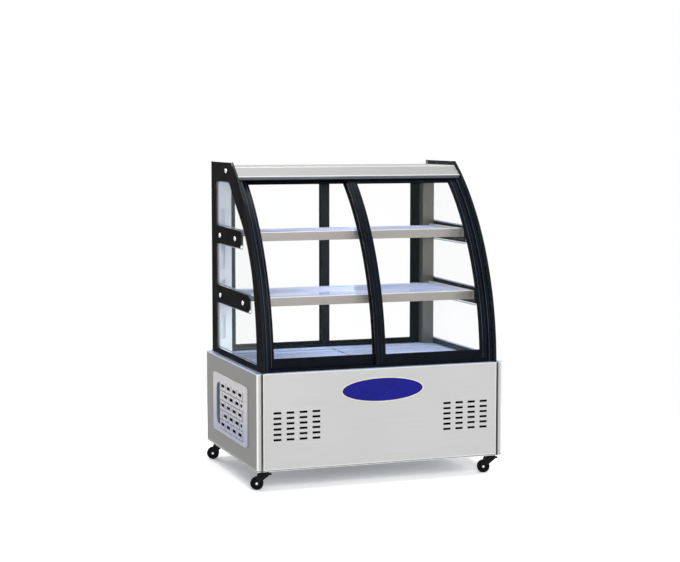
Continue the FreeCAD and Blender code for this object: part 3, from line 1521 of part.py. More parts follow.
build()
DOC.recompute()
check()
os.makedirs("parts", exist_ok=True)
for node in NODES:
    node.Shape.exportStep(f"parts/{node.Label}.step")
print(len(NODES), "sub-parts written")
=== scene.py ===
"""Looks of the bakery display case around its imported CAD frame. Metres, +X right, +Y to the rear, +Z up."""
import json
import math
from itertools import product

import bmesh
import bpy
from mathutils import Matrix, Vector
from mathutils.geometry import tessellate_polygon


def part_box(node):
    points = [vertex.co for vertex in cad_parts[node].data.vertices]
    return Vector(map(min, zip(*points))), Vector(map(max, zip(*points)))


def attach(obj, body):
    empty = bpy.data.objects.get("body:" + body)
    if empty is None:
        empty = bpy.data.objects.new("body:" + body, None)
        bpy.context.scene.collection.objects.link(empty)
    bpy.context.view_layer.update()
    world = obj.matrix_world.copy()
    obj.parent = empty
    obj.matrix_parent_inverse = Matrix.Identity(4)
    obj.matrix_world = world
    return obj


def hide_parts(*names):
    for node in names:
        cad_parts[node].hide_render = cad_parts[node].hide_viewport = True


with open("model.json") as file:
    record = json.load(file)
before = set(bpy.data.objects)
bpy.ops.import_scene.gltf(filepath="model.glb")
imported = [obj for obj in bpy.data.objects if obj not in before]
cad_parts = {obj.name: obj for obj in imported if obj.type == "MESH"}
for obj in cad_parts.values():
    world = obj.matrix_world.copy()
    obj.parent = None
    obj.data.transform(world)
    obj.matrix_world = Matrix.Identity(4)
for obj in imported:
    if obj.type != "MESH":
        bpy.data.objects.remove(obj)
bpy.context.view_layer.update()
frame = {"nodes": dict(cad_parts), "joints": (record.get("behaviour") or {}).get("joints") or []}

SCENE = bpy.context.scene
NODES = frame["nodes"]
JOINTS = {joint["name"]: joint for joint in frame["joints"]}


# ------------------------------------------------------------------ places read from the frame
GLASS_LOW, GLASS_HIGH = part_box("side_glass_right")
GLASS_IN, GLASS_OUT = GLASS_LOW[0], GLASS_HIGH[0]
DECK, GLASS_TOP = GLASS_LOW[2], GLASS_HIGH[2]
FRONT, BACK = GLASS_LOW[1], GLASS_HIGH[1]
PANEL_LOW, PANEL_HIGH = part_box("front_panel")
PANEL_FACE = PANEL_LOW[1]
HEADER_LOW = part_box("front_header")[0][2]
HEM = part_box("side_panel_left")[0][2]

# ------------------------------------------------------------------ sizes of the curved front, as in the CAD
CURVE_RADIUS = 0.960
TOP_DEPTH = 0.2912  # the side glasses' top edge
DOOR_SETBACK = 0.024  # from the side glasses' edge to the outer door's face
DOOR_THICK = 0.012
TRACK_WEB = 0.007  # between the two doors
TRACK_WALL = 0.0052  # before the outer door


def arc_centre():
    """Centre of the front arc, from the deck's front edge to the top edge of the side glasses."""
    top_front = BACK - TOP_DEPTH
    rise, sweep = GLASS_TOP - DECK, top_front - FRONT
    chord = math.hypot(rise, sweep)
    reach = math.sqrt(CURVE_RADIUS**2 - chord**2 / 4)
    centre_y = (FRONT + top_front) / 2 + reach * rise / chord
    return centre_y, (DECK + GLASS_TOP) / 2 - reach * sweep / chord


CENTRE_Y, CENTRE_Z = arc_centre()
OUTER_FACE = CURVE_RADIUS - DOOR_SETBACK
INNER_FACE = OUTER_FACE - DOOR_THICK - TRACK_WEB
JAMB_FACE = OUTER_FACE + TRACK_WALL


def arc_y(radius, level):
    """Depth of an arc about the front's centre at a height."""
    return CENTRE_Y - math.sqrt(radius**2 - (level - CENTRE_Z) ** 2)


# ------------------------------------------------------------------ materials
class Shader:
    """A Principled material and short calls for its procedural detail."""

    def __init__(self, name, colour, roughness, metallic=0.0, specular=0.5):
        self.material = bpy.data.materials.new(name)
        self.material.use_nodes = True
        self.tree = self.material.node_tree
        self.bsdf = self.tree.nodes["Principled BSDF"]
        self.colour = colour
        self.bsdf.inputs["Base Color"].default_value = (*colour, 1)
        self.bsdf.inputs["Roughness"].default_value = roughness
        self.bsdf.inputs["Metallic"].default_value = metallic
        self.bsdf.inputs["Specular IOR Level"].default_value = specular
        self.place = self.node("ShaderNodeTexCoord").outputs["Object"]

    def node(self, kind, **values):
        item = self.tree.nodes.new(kind)
        for name, value in values.items():
            setattr(item, name, value)
        return item

    def link(self, source, target):
        self.tree.links.new(source, target)

    def feed(self, target, value):
        """Set a socket from another socket or from a plain value."""
        if isinstance(value, bpy.types.NodeSocket):
            self.link(value, target)
        else:
            target.default_value = value

    def math(self, operation, first, second=0.0, clamp=False):
        item = self.node("ShaderNodeMath", operation=operation, use_clamp=clamp)
        self.feed(item.inputs[0], first)
        self.feed(item.inputs[1], second)
        return item.outputs[0]

    def product(self, *factors):
        total = factors[0]
        for factor in factors[1:]:
            total = self.math("MULTIPLY", total, factor)
        return total

    def either(self, *masks):
        total = masks[0]
        for mask in masks[1:]:
            total = self.math("MAXIMUM", total, mask)
        return total

    def axis(self, name):
        item = self.node("ShaderNodeSeparateXYZ")
        self.link(self.place, item.inputs[0])
        return item.outputs[name]

    def away(self, name):
        """Distance from the middle along an axis."""
        return self.math("ABSOLUTE", self.axis(name))

    def step(self, value, low, high):
        """0 at low, 1 at high, smooth between. A low above its high turns the step round."""
        item = self.node("ShaderNodeMapRange", interpolation_type="SMOOTHSTEP")
        self.feed(item.inputs["Value"], value)
        item.inputs["From Min"].default_value = low
        item.inputs["From Max"].default_value = high
        return item.outputs[0]

    def noise(self, stretch, detail=2.0, low=0.35, high=0.65):
        """Noise from 0 to 1, with stretch cells to the metre along each axis."""
        mapping = self.node("ShaderNodeMapping")
        self.link(self.place, mapping.inputs["Vector"])
        mapping.inputs["Scale"].default_value = stretch
        item = self.node("ShaderNodeTexNoise")
        item.inputs["Scale"].default_value = 1.0
        item.inputs["Detail"].default_value = detail
        self.link(mapping.outputs[0], item.inputs["Vector"])
        return self.step(item.outputs["Fac"], low, high)

    def band(self, low, high, soft=0.0005):
        """1 between two heights, 0 elsewhere."""
        level = self.axis("Z")
        return self.product(self.step(level, low - soft, low), self.step(level, high + soft, high))

    def blend(self, factor, first, second):
        """From the first colour at 0 to the second at 1."""
        item = self.node("ShaderNodeMix", data_type="RGBA")
        self.feed(item.inputs[0], factor)
        for index, value in ((6, first), (7, second)):
            self.feed(item.inputs[index], (*value, 1) if isinstance(value, tuple) else value)
        return item.outputs[2]

    def tint(self, socket):
        self.link(socket, self.bsdf.inputs["Base Color"])
        return self

    def shade(self, amount, factor):
        """The colour with a spread of lightness driven by a factor."""
        dark = tuple(channel * (1 - amount) for channel in self.colour)
        light = tuple(min(1, channel * (1 + amount)) for channel in self.colour)
        return self.blend(factor, dark, light)

    def rough(self, factor, low, high):
        item = self.node("ShaderNodeMapRange")
        self.feed(item.inputs["Value"], factor)
        item.inputs["To Min"].default_value = low
        item.inputs["To Max"].default_value = high
        self.link(item.outputs[0], self.bsdf.inputs["Roughness"])
        return self

    def bump(self, height, strength, distance):
        item = self.node("ShaderNodeBump")
        item.inputs["Strength"].default_value = strength
        item.inputs["Distance"].default_value = distance
        self.link(height, item.inputs["Height"])
        self.link(item.outputs[0], self.bsdf.inputs["Normal"])
        return self


def linear(red, green, blue):
    """Scene colour from an 8-bit display colour."""
    return tuple(
        value / 12.92 if value <= 0.04045 else ((value + 0.055) / 1.055) ** 2.4
        for value in (red / 255, green / 255, blue / 255)
    )


def brushed(
    name, colour, along="x", metallic=0.45, low=0.3, high=0.42, edge=None, dark=None, shadow=linear(74, 82, 90)
):
    """Brushed stainless sheet: fine streaks along one axis, a slow drift of tone, painted highlights along its edges,
    and painted shade and reflections where it is darker.
    """
    shader = Shader(name, colour, 0.35, metallic, 0.3)
    stretch = {"x": (5, 700, 700), "y": (700, 5, 700), "z": (700, 700, 5)}[along]
    streaks = shader.noise(stretch, 3)
    drift = shader.noise((2.2, 2.2, 2.2), 1, 0.3, 0.7)
    factor = shader.math("ADD", shader.product(streaks, 0.6), shader.product(drift, 0.4))
    colour_socket = shader.shade(0.05, factor)
    if edge:
        colour_socket = shader.blend(edge(shader), colour_socket, linear(246, 246, 244))
    if dark:
        colour_socket = shader.blend(dark(shader), colour_socket, shadow)
    shader.tint(colour_socket).rough(streaks, low, high).bump(streaks, 0.05, 0.0002)
    return shader.material


def painted(name, colour, low=0.3, high=0.42, peel=0.1, spread=0.12, specular=0.07):
    """Powder coat or anodised profile: fine orange peel and slightly uneven gloss."""
    shader = Shader(name, colour, 0.36, 0.0, specular)
    peel_height = shader.noise((420, 420, 420), 2)
    drift = shader.noise((9, 9, 9), 3)
    shader.tint(shader.shade(spread, drift)).rough(drift, low, high).bump(peel_height, peel, 0.0003)
    return shader.material


def moulded(name, colour, low=0.4, high=0.55, grain=0.15):
    """Moulded plastic with a fine grain."""
    shader = Shader(name, colour, 0.45)
    grains = shader.noise((900, 900, 900), 2)
    drift = shader.noise((6, 6, 6), 2)
    shader.tint(shader.shade(0.04, drift)).rough(grains, low, high).bump(grains, grain, 0.0002)
    return shader.material


def clear_glass(name, tint, edge_tint, edge_steps, edge_cover):
    """Clear float glass: faces nearly vanish, mirror more at a glancing view; cut edges show their tint.

    The edge steps are the sizes of the normal's X at which a face and a cut edge are told apart.
    """
    shader = Shader(name, tint, 0.04)
    shader.rough(shader.noise((4, 4, 4), 3, 0.4, 0.8), 0.03, 0.08)
    facing = shader.node("ShaderNodeLayerWeight")
    facing.inputs["Blend"].default_value = 0.5
    mirror = shader.product(shader.math("POWER", facing.outputs["Facing"], 5.0), 0.32)
    cover = shader.math("ADD", mirror, 0.006, True)
    normal = shader.node("ShaderNodeSeparateXYZ")
    shader.link(shader.node("ShaderNodeNewGeometry").outputs["Normal"], normal.inputs[0])
    is_edge = shader.step(shader.math("ABSOLUTE", normal.outputs["X"]), *edge_steps)
    shader.tint(shader.blend(is_edge, shader.colour, edge_tint))
    shader.link(shader.either(cover, shader.product(is_edge, edge_cover)), shader.bsdf.inputs["Alpha"])
    return shader, is_edge


def side_glass_material():
    """A side glass faces along X, and its dark cut edges hardly mirror the lamps."""
    shader, is_edge = clear_glass("side_glass", linear(214, 230, 232), linear(30, 36, 40), (0.6, 0.3), 0.92)
    gloss = shader.math("SUBTRACT", 0.5, shader.product(is_edge, 0.47))
    shader.link(gloss, shader.bsdf.inputs["Specular IOR Level"])
    return shader.material


def pane_material():
    """A door pane's cut edges face along X."""
    return clear_glass("pane_glass", linear(216, 232, 230), linear(130, 155, 146), (0.5, 0.9), 0.6)[0].material


# Where highlights and shade are painted on the sheet metal, and the foot of the header's slate band, as heights or as
# distances from the middle of the case.
POST_RETURN = (0.3455, 0.3470)  # depth at which the corner posts' returns begin
POST_EDGE = (0.4925, 0.4935)  # outer strip of a corner post
POST_JOINT = (0.4838, 0.4832)  # joint between a corner post and its panel
SIDE_TOP_FOLD = (0.4385, 0.4395)
SHELF_FOLDS = ((0.9493, 0.9530), (0.7083, 0.7120))
SHELF_ENDS = (0.4392, 0.4398)
FASCIA_FOLDS = ((1.1955, 1.1980), (1.1605, 1.1630))
LIP_TOP = (1.1602, 1.1592)  # top of the return lip under the fascia
HEADER_BAND = (1.1505, 1.1525)  # foot of the header's slate band
WELL_TOP, WELL_SIDES = (0.4426, 0.4416), (0.4725, 0.4715)
HEM_EDGE = (0.0020, 0.0016)  # the next three are heights over a panel's foot
HEM_JOINT = (0.0024, 0.0044)
HEM_FOLD = 0.0052
SHEET_FOLD = 0.0035  # width of the painted highlight along a fold


def hem_highlights(shader, foot, top):
    """Painted highlights on a hem's lower edge and on the fold over its joint, up to a top."""
    return shader.either(
        shader.band(foot + HEM_FOLD, foot + top), shader.step(shader.axis("Z"), *(foot + edge for edge in HEM_EDGE))
    )


def hem_joint(shader, foot):
    return shader.band(*(foot + edge for edge in HEM_JOINT))


def front_highlights(shader):
    """Painted highlights where the front panel folds away at its sides, top and bottom."""
    sides, top = (
        shader.step(value, end - SHEET_FOLD, end - SHEET_FOLD * 0.6)
        for value, end in ((shader.away("X"), PANEL_HIGH[0]), (shader.axis("Z"), PANEL_HIGH[2]))
    )
    return shader.product(shader.either(sides, top, hem_highlights(shader, PANEL_LOW[2], 0.0074)), 0.8)


def front_joint(shader):
    """The joint over the front panel's bottom hem lies in shadow."""
    return shader.product(hem_joint(shader, PANEL_LOW[2]), 0.9)


def post_highlights(shader):
    """Painted light on the corner posts, lit as the front is, and painted highlights on the top and bottom folds of a
    side panel.
    """
    strip = shader.product(shader.step(shader.away("X"), *POST_EDGE), 0.9)
    posts = shader.product(shader.step(shader.away("Y"), *POST_RETURN), shader.either(strip, 0.45))
    folds = shader.either(shader.step(shader.axis("Z"), *SIDE_TOP_FOLD), hem_highlights(shader, HEM, 0.0070))
    return shader.either(posts, shader.product(folds, 0.8))


def side_joints(shader):
    """The joint between a corner post and its panel, and the one over the bottom hem, lie in shadow."""
    joint = shader.product(shader.step(shader.away("Y"), *POST_RETURN), shader.step(shader.away("X"), *POST_JOINT))
    return shader.product(shader.either(joint, hem_joint(shader, HEM)), 0.9)


def rail_highlights(shader):
    """Painted highlights on the shelf rails' upper folds and cut ends."""
    ends = shader.step(shader.away("X"), *SHELF_ENDS)
    return shader.product(shader.either(*(shader.band(*fold) for fold in SHELF_FOLDS), ends), 0.85)


def fascia_highlights(shader):
    """Painted highlights on the upper and lower folds of the roof's sloping fascia."""
    return shader.product(shader.either(*(shader.band(*fold) for fold in FASCIA_FOLDS)), 0.5)


def lip_shade(shader):
    """Painted shade on the return lip under the fascia, in a slate colour like the header's."""
    return shader.step(shader.axis("Z"), *LIP_TOP)


def well_shade(shader):
    """Painted shade in the cold well below the deck's surface."""
    return shader.product(shader.step(shader.axis("Z"), *WELL_TOP), shader.step(shader.away("X"), *WELL_SIDES))


def duct_reflection(shader):
    """Painted reflection: the steel duct darkens towards its foot, for the darker well that it mirrors."""
    return shader.product(shader.step(shader.axis("Z"), 0.95, 0.45), 0.6)


M_FRONT = brushed(
    "stainless_front", linear(202, 202, 201), edge=front_highlights, dark=front_joint, shadow=linear(84, 74, 66),
)
# Painted shade: the side panels' stainless is darker than the front panel's, for the shade on the case's sides.
M_SIDE = brushed(
    "stainless_side", linear(132, 131, 128), "z", 0.3, edge=post_highlights, dark=side_joints, shadow=linear(58, 50, 44),
)
M_REAR = brushed("stainless_rear", linear(190, 190, 188))
M_ROOF = brushed(
    "stainless_roof", linear(158, 158, 157), "x", 0.15, 0.42, 0.55, fascia_highlights, lip_shade, linear(112, 120, 128),
)
M_DECK = brushed("stainless_deck", linear(176, 196, 232), "y", 0.5, dark=well_shade)
M_SHELF = brushed("stainless_shelf", linear(166, 162, 156), "x", 0.4, edge=rail_highlights)
M_DUCT = brushed("stainless_duct", linear(124, 122, 113), "z", 0.5, dark=duct_reflection)
M_GALVANISED = brushed("galvanised", linear(168, 172, 178), "x", 0.7, 0.4, 0.55)
M_PROFILE = painted("black_profile", linear(9, 14, 22), 0.26, 0.4)
# Painted highlights: the black profiles' ribs are coloured lighter than the profile, a bright one and a faint one, for
# the light along their ridges.
M_RIB = painted("profile_rib", linear(72, 86, 104), 0.3, 0.4, 0.05)
M_FAINT_RIB = painted("faint_rib", linear(38, 48, 60), 0.3, 0.4, 0.05)
M_PRINT = painted("black_print", linear(11, 11, 16), 0.3, 0.4, 0.02, 0.05, 0.003)
M_REAR_PROFILE = painted("slate_profile", linear(10, 14, 19), 0.35, 0.5, 0.1, 0.12, 0.02)
M_DUCT_PLASTIC = moulded("pale_duct", linear(238, 246, 255), 0.45, 0.6, 0.06)
M_WHITE = moulded("white_plastic", linear(226, 223, 232), 0.38, 0.5, 0.08)
M_RACK = painted("coated_wire", linear(176, 193, 232), 0.3, 0.42, 0.05, 0.05, 0.3)
M_GASKET = painted("gasket_rubber", linear(11, 12, 15), 0.55, 0.75, 0.2, 0.1, 0.1)
M_CREAM = painted("cream_enamel", linear(236, 230, 208), 0.25, 0.35, 0.04, 0.03)
M_BLUE = painted("blue_enamel", linear(26, 28, 132), 0.2, 0.3, 0.03, 0.06, 0.12)
M_FOAM = moulded("foam", linear(226, 214, 170), 0.8, 0.95, 0.5)
M_LAMP = moulded("lamp_diffuser", linear(244, 244, 240), 0.5, 0.6, 0.05)
M_BLACK = painted("black_enamel", linear(22, 22, 24), 0.18, 0.3, 0.08)
M_DARK = painted("dark_plastic", linear(18, 18, 20), 0.3, 0.42, 0.12, 0.08, 0.15)
M_BOX = painted("grey_powder_coat", linear(96, 98, 102), 0.5, 0.62, 0.3)
M_FORK = painted("black_zinc", linear(16, 17, 20), 0.28, 0.45, 0.08, 0.2, 0.12)
M_TYRE = painted("tyre_rubber", linear(10, 11, 13), 0.4, 0.6, 0.15, 0.1, 0.06)
M_HUB = painted("wheel_hub", linear(13, 14, 17), 0.35, 0.5, 0.1, 0.1, 0.06)
# Painted shade: a near-black sheet for behind the slots of the base.
M_SLOT_SHADE = painted("slot_shade_sheet", linear(4, 4, 5), 0.8, 0.95, 0.3, 0.1, 0.01)


def chrome_material():
    """Polished chrome with a few handling marks."""
    shader = Shader("chrome", linear(226, 226, 228), 0.1, 1.0)
    marks = shader.noise((160, 160, 160), 3)
    shader.tint(shader.shade(0.03, marks)).rough(marks, 0.06, 0.16)
    return shader.material


def copper_material():
    """Copper tube with a patchy patina."""
    shader = Shader("copper", linear(190, 116, 84), 0.3, 1.0)
    patina = shader.noise((40, 40, 40), 4)
    shader.tint(shader.blend(patina, linear(196, 124, 92), linear(140, 82, 58))).rough(patina, 0.22, 0.42)
    return shader.material


def fin_material():
    """Thin aluminium fins drawn as fine lines across the fin packs."""
    shader = Shader("fin_stock", linear(176, 178, 180), 0.45, 0.8)
    wave = shader.node("ShaderNodeTexWave", bands_direction="Z")
    wave.inputs["Scale"].default_value = 90
    shader.link(shader.place, wave.inputs["Vector"])
    shader.tint(shader.shade(0.18, wave.outputs["Fac"])).bump(wave.outputs["Fac"], 0.4, 0.0006)
    shader.rough(shader.noise((60, 60, 60), 2), 0.35, 0.55)
    return shader.material


def header_material():
    """The header's upper band is slate, the lower one black."""
    shader = Shader("header_profile", linear(22, 28, 37), 0.32, 0.0, 0.22)
    level = shader.step(shader.axis("Z"), *HEADER_BAND)
    drift = shader.noise((9, 9, 9), 3)
    shader.tint(shader.blend(level, shader.shade(0.12, drift), linear(66, 74, 82))).rough(drift, 0.25, 0.38)
    return shader.material


def margin_material():
    """The pale edge of the printed border, half see-through."""
    shader = Shader("print_margin", linear(196, 216, 240), 0.3)
    grains = shader.noise((300, 300, 300), 2)
    shader.tint(shader.shade(0.05, grains)).rough(grains, 0.25, 0.4)
    shader.bsdf.inputs["Alpha"].default_value = 0.5
    return shader.material


GRILLE_WINDOW = (-0.1895, 0.1395), (0.1575, 0.3505)  # the louvred field's ends and heights
GRILLE_SCOOP = (0.1392, 0.1935), (0.1720, 0.3445)  # the finger scoop's ends and heights
BRICK = {"Scale": 1, "Brick Width": 0.048, "Row Height": 0.0384, "Mortar Size": 0.0027, "Mortar Smooth": 0.2, "Bias": 0}
BRICK_START, BRICK_SHARE = (0.139, 0.3532), 0.6  # where the pattern begins, and its width to the texture's


def grille_material():
    """White moulding, bluer grey towards its foot, with painted shade and light: grey in the joints between the
    louvres, black in the slots, and in the finger scoop a black end beside a blue-grey wall painted as lit.
    """
    shader = Shader("grille_plastic", linear(232, 229, 236), 0.45)
    grains = shader.noise((900, 900, 900), 2)
    across, along, level = (shader.axis(name) for name in "XYZ")
    place = shader.node("ShaderNodeCombineXYZ")
    shader.link(shader.product(shader.math("SUBTRACT", along, BRICK_START[0]), BRICK_SHARE), place.inputs[0])
    shader.link(shader.math("SUBTRACT", level, BRICK_START[1]), place.inputs[1])
    bricks = shader.node("ShaderNodeTexBrick", offset=0.5)
    for name, value in BRICK.items():
        bricks.inputs[name].default_value = value
    shader.link(place.outputs[0], bricks.inputs["Vector"])

    def field(area, soft):
        """1 within an area's ends and heights."""
        (start, end), (low, high) = area
        return shader.product(
            shader.step(along, start, start + soft[0]), shader.step(along, end, end - soft[1]),
            shader.step(level, low, low + soft[2]), shader.step(level, high, high - soft[2]),
        )

    inside = field(GRILLE_WINDOW, (0.001, 0.001, 0.001))
    scoop = field(GRILLE_SCOOP, (0.0004, 0.001, 0.0005))
    # Painted shade in the joints, the slots and the scoop's black end; the scoop's blue-grey wall is painted light.
    joints = shader.product(bricks.outputs["Fac"], inside, 0.9)
    slots = shader.product(shader.step(across, -0.5037, -0.5027), inside)
    hollow = shader.product(scoop, shader.step(across, -0.5040, -0.5034))
    deep = shader.blend(shader.step(along, 0.150, 0.166), linear(8, 9, 11), linear(128, 144, 156))
    pale = shader.blend(shader.step(level, 0.33, 0.15), linear(240, 235, 238), linear(200, 203, 226))
    colour = shader.blend(joints, pale, linear(118, 118, 130))
    colour = shader.blend(slots, colour, linear(8, 8, 10))
    shader.tint(shader.blend(hollow, colour, deep)).rough(grains, 0.38, 0.5).bump(grains, 0.08, 0.0002)
    return shader.material


M_CHROME = chrome_material()
M_COPPER = copper_material()
M_FINS = fin_material()
M_HEADER = header_material()
M_MARGIN = margin_material()
M_GRILLE = grille_material()
M_SIDE_GLASS = side_glass_material()
M_PANE = pane_material()

NODE_MATERIALS = {
    M_FRONT: ("front_panel",),
    M_SIDE: ("side_panel_left", "side_panel_right"),
    M_REAR: ("rear_panel",),
    M_ROOF: ("roof",),
    M_DECK: ("deck_tub",),
    M_SHELF: ("upper_shelf", "middle_shelf"),
    M_DUCT: ("side_duct_right",),
    M_DUCT_PLASTIC: ("side_duct_left",),
    M_GALVANISED: ("chassis_tray", "fan_shroud", "caster_plates", "condenser_fan", "evaporator_fan"),
    M_PROFILE: (
        "front_jamb_left", "front_jamb_right", "front_sill", "upper_brackets", "middle_brackets",
        "front_door_left_frame", "front_door_right_frame",
    ),
    M_HEADER: ("front_header",),
    M_REAR_PROFILE: ("rear_frame", "rear_door_left_frame", "rear_door_right_frame"),
    M_SIDE_GLASS: ("side_glass_left", "side_glass_right"),
    M_PANE: ("front_door_left_pane", "front_door_right_pane", "rear_door_left_pane", "rear_door_right_pane"),
    M_WHITE: ("drip_tray",),
    M_GRILLE: ("vent_grille",),
    M_RACK: ("upper_rack", "middle_rack", "floor_racks"),
    M_FOAM: ("tub_insulation",),
    M_LAMP: ("led_lamp",),
    M_BLACK: ("compressor", "condenser_fan_motor", "evaporator_fan_motor"),
    M_COPPER: ("refrigerant_pipes",),
    M_FINS: ("condenser", "evaporator"),
    M_BOX: ("control_box",),
    M_DARK: ("rocker_1", "rocker_2", "brake_pedal_front_left", "brake_pedal_front_right"),
    M_FORK: tuple(name for name in NODES if name.startswith("caster_fork")),
    M_TYRE: tuple(name for name in NODES if name.startswith("caster_wheel")),
}
for material, names in NODE_MATERIALS.items():
    for name in names:
        for slot in NODES[name].material_slots:
            slot.material = material


# ------------------------------------------------------------------ mesh building
class Builder:
    """Collects closed shells into one mesh object."""

    def __init__(self):
        self.verts, self.faces, self.tags = [], [], []

    def add(self, verts, faces, tag=0):
        start = len(self.verts)
        self.verts += [tuple(vert) for vert in verts]
        self.faces += [tuple(index + start for index in face) for face in faces]
        self.tags += [tag] * len(faces)
        return self

    def finish(self, name, materials, body="cabinet", slot=None, sharp=35, bevel=0.0):
        """Make the object, with its edges sharp from an angle on, and let it ride on a body."""
        mesh = bpy.data.meshes.new(name)
        mesh.from_pydata(self.verts, [], self.faces)
        materials = materials if isinstance(materials, (list, tuple)) else [materials]
        for material in materials:
            mesh.materials.append(material)
        for polygon, tag in zip(mesh.polygons, self.tags):
            polygon.material_index = tag
            polygon.use_smooth = True
        work = bmesh.new()
        work.from_mesh(mesh)
        bmesh.ops.remove_doubles(work, verts=work.verts, dist=1e-6)
        bmesh.ops.recalc_face_normals(work, faces=work.faces)
        if bevel:
            edges = [edge for edge in work.edges if edge.calc_face_angle(0) > math.radians(sharp)]
            bmesh.ops.bevel(work, geom=edges, offset=bevel, segments=2, profile=0.5, affect="EDGES")
        for edge in work.edges:
            edge.smooth = edge.calc_face_angle(0) < math.radians(sharp)
        for face in work.faces:
            face.smooth = True
        work.to_mesh(mesh)
        work.free()
        piece = bpy.data.objects.new(name, mesh)
        SCENE.collection.objects.link(piece)
        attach(piece, body)
        return piece


def rounded(corners, steps=6):
    """A closed outline from (u, v, radius) corners."""
    outline = []
    count = len(corners)
    for index, (u, v, radius) in enumerate(corners):
        here = Vector((u, v))
        before = (Vector(corners[index - 1][:2]) - here).normalized()
        after = (Vector(corners[(index + 1) % count][:2]) - here).normalized()
        if radius <= 0:
            outline.append(here)
            continue
        angle = before.angle(after)
        reach = radius / math.tan(angle / 2)
        start, end = here + before * reach, here + after * reach
        middle = here + (before + after).normalized() * (radius / math.sin(angle / 2))
        from_angle = math.atan2(*(start - middle).yx)
        turn = (math.atan2(*(end - middle).yx) - from_angle + math.pi) % (2 * math.pi) - math.pi
        for step in range(steps + 1):
            at = from_angle + turn * step / steps
            outline.append(middle + Vector((math.cos(at), math.sin(at))) * radius)
    return outline


# Lift a flat (u, v) point to a depth along one axis.
def on_x(point, depth):
    return depth, point[0], point[1]


def on_y(point, depth):
    return point[0], depth, point[1]


def on_z(point, depth):
    return point[0], point[1], depth


def plate(builder, loops, lift, low, high, tag=0):
    """A flat plate: the first loop is its outline, the others are holes."""
    flat = [point for loop in loops for point in loop]
    count = len(flat)
    faces = []
    for triangle in tessellate_polygon([[Vector((p[0], p[1], 0)) for p in loop] for loop in loops]):
        faces.append(tuple(triangle))
        faces.append(tuple(index + count for index in reversed(triangle)))
    start = 0
    for loop in loops:
        for index in range(len(loop)):
            here, there = start + index, start + (index + 1) % len(loop)
            faces.append((here, there, there + count, here + count))
        start += len(loop)
    verts = [lift(point, low) for point in flat] + [lift(point, high) for point in flat]
    return builder.add(verts, faces, tag)


def frame_for(axis):
    """A rotation that turns +Z onto an axis."""
    return Vector((0, 0, 1)).rotation_difference(Vector(axis).normalized()).to_matrix()


def revolve(builder, profile, origin, axis, steps=32, tags=None):
    """Turn (height, radius) points about an axis. A first or last radius of 0 closes the form at its pole."""
    turn, origin = frame_for(axis), Vector(origin)
    rings, verts = [], []
    for height, radius in profile:
        if radius == 0:
            rings.append([len(verts)])
            verts.append(origin + turn @ Vector((0, 0, height)))
            continue
        rings.append(range(len(verts), len(verts) + steps))
        for step in range(steps):
            angle = 2 * math.pi * step / steps
            verts.append(origin + turn @ Vector((radius * math.cos(angle), radius * math.sin(angle), height)))
    pairs = list(zip(rings, rings[1:]))
    if profile[0][1] > 0 and profile[-1][1] > 0:
        pairs.append((rings[-1], rings[0]))
    for index, (first, second) in enumerate(pairs):
        faces = []
        for step in range(steps):
            after = (step + 1) % steps
            if len(first) == 1:
                faces.append((first[0], second[step], second[after]))
            elif len(second) == 1:
                faces.append((first[step], first[after], second[0]))
            else:
                faces.append((first[step], first[after], second[after], second[step]))
        tag = tags[index] if tags else 0
        if index == 0:
            builder.add(verts, faces, tag)
            start = len(builder.verts) - len(verts)
        else:
            builder.faces += [tuple(i + start for i in face) for face in faces]
            builder.tags += [tag] * len(faces)
    return builder


def rod(builder, start, end, radius, sides=8, tag=0):
    """A straight round rod between two points."""
    start, end = Vector(start), Vector(end)
    turn = frame_for(end - start)
    ring = [
        turn @ Vector((radius * math.cos(2 * math.pi * s / sides), radius * math.sin(2 * math.pi * s / sides), 0))
        for s in range(sides)
    ]
    verts = [start + point for point in ring] + [end + point for point in ring]
    faces = [(s, (s + 1) % sides, (s + 1) % sides + sides, s + sides) for s in range(sides)]
    faces += [tuple(range(sides - 1, -1, -1)), tuple(range(sides, 2 * sides))]
    return builder.add(verts, faces, tag)


def bar(builder, low, high, tag=0):
    """A straight bar between two corners."""
    outline = [(low[0], low[1]), (high[0], low[1]), (high[0], high[1]), (low[0], high[1])]
    return plate(builder, [[Vector(p) for p in outline]], on_z, low[2], high[2], tag)


def arc_bar(builder, left, right, outer, inner, low, high, steps=28, tag=0):
    """A strip that follows the front arc between two heights."""
    verts, faces = [], []
    for step in range(steps + 1):
        level = low + (high - low) * step / steps
        near, far = arc_y(outer, level), arc_y(inner, level)
        verts += [(left, near, level), (right, near, level), (right, far, level), (left, far, level)]
    for step in range(steps):
        base = 4 * step
        for side in range(4):
            after = (side + 1) % 4
            faces.append((base + side, base + after, base + 4 + after, base + 4 + side))
    faces += [(3, 2, 1, 0), tuple(4 * steps + i for i in range(4))]
    return builder.add(verts, faces, tag)


# ------------------------------------------------------------------ printed border of the side glasses
def smooth_run(points, steps=8):
    """A Catmull-Rom run through a few points, its ends included."""
    padded = [points[0]] + list(points) + [points[-1]]
    run = []
    for before, start, end, after in zip(padded, padded[1:], padded[2:], padded[3:]):
        for step in range(steps):
            t = step / steps
            run.append(tuple(
                0.5 * (2 * b + (c - a) * t + (2 * a - 5 * b + 4 * c - d) * t**2 + (3 * b - a - 3 * c + d) * t**3)
                for a, b, c, d in zip(before, start, end, after)
            ))
    return run + [tuple(points[-1])]


# The clear window's edges in a side glass, as depths and heights. The front one is a run of (y, z) points.
REAR_BAND = 0.282
TOP_BAND = 1.139
SILL_BAND = 0.466
FRONT_BAND = (
    (0.096, TOP_BAND), (0.0, 1.055), (-0.118, 0.950), (-0.205, 0.819), (-0.248, 0.680), (-0.268, 0.560),
    (-0.272, SILL_BAND),
)
BAND_CORNER = 0.016
PRINT_THICK = 0.0003
PRINT_GAP = 0.0002  # between a glass face and its print
MARGIN_WIDTH = 0.006
GLASS_CORNER = 0.012


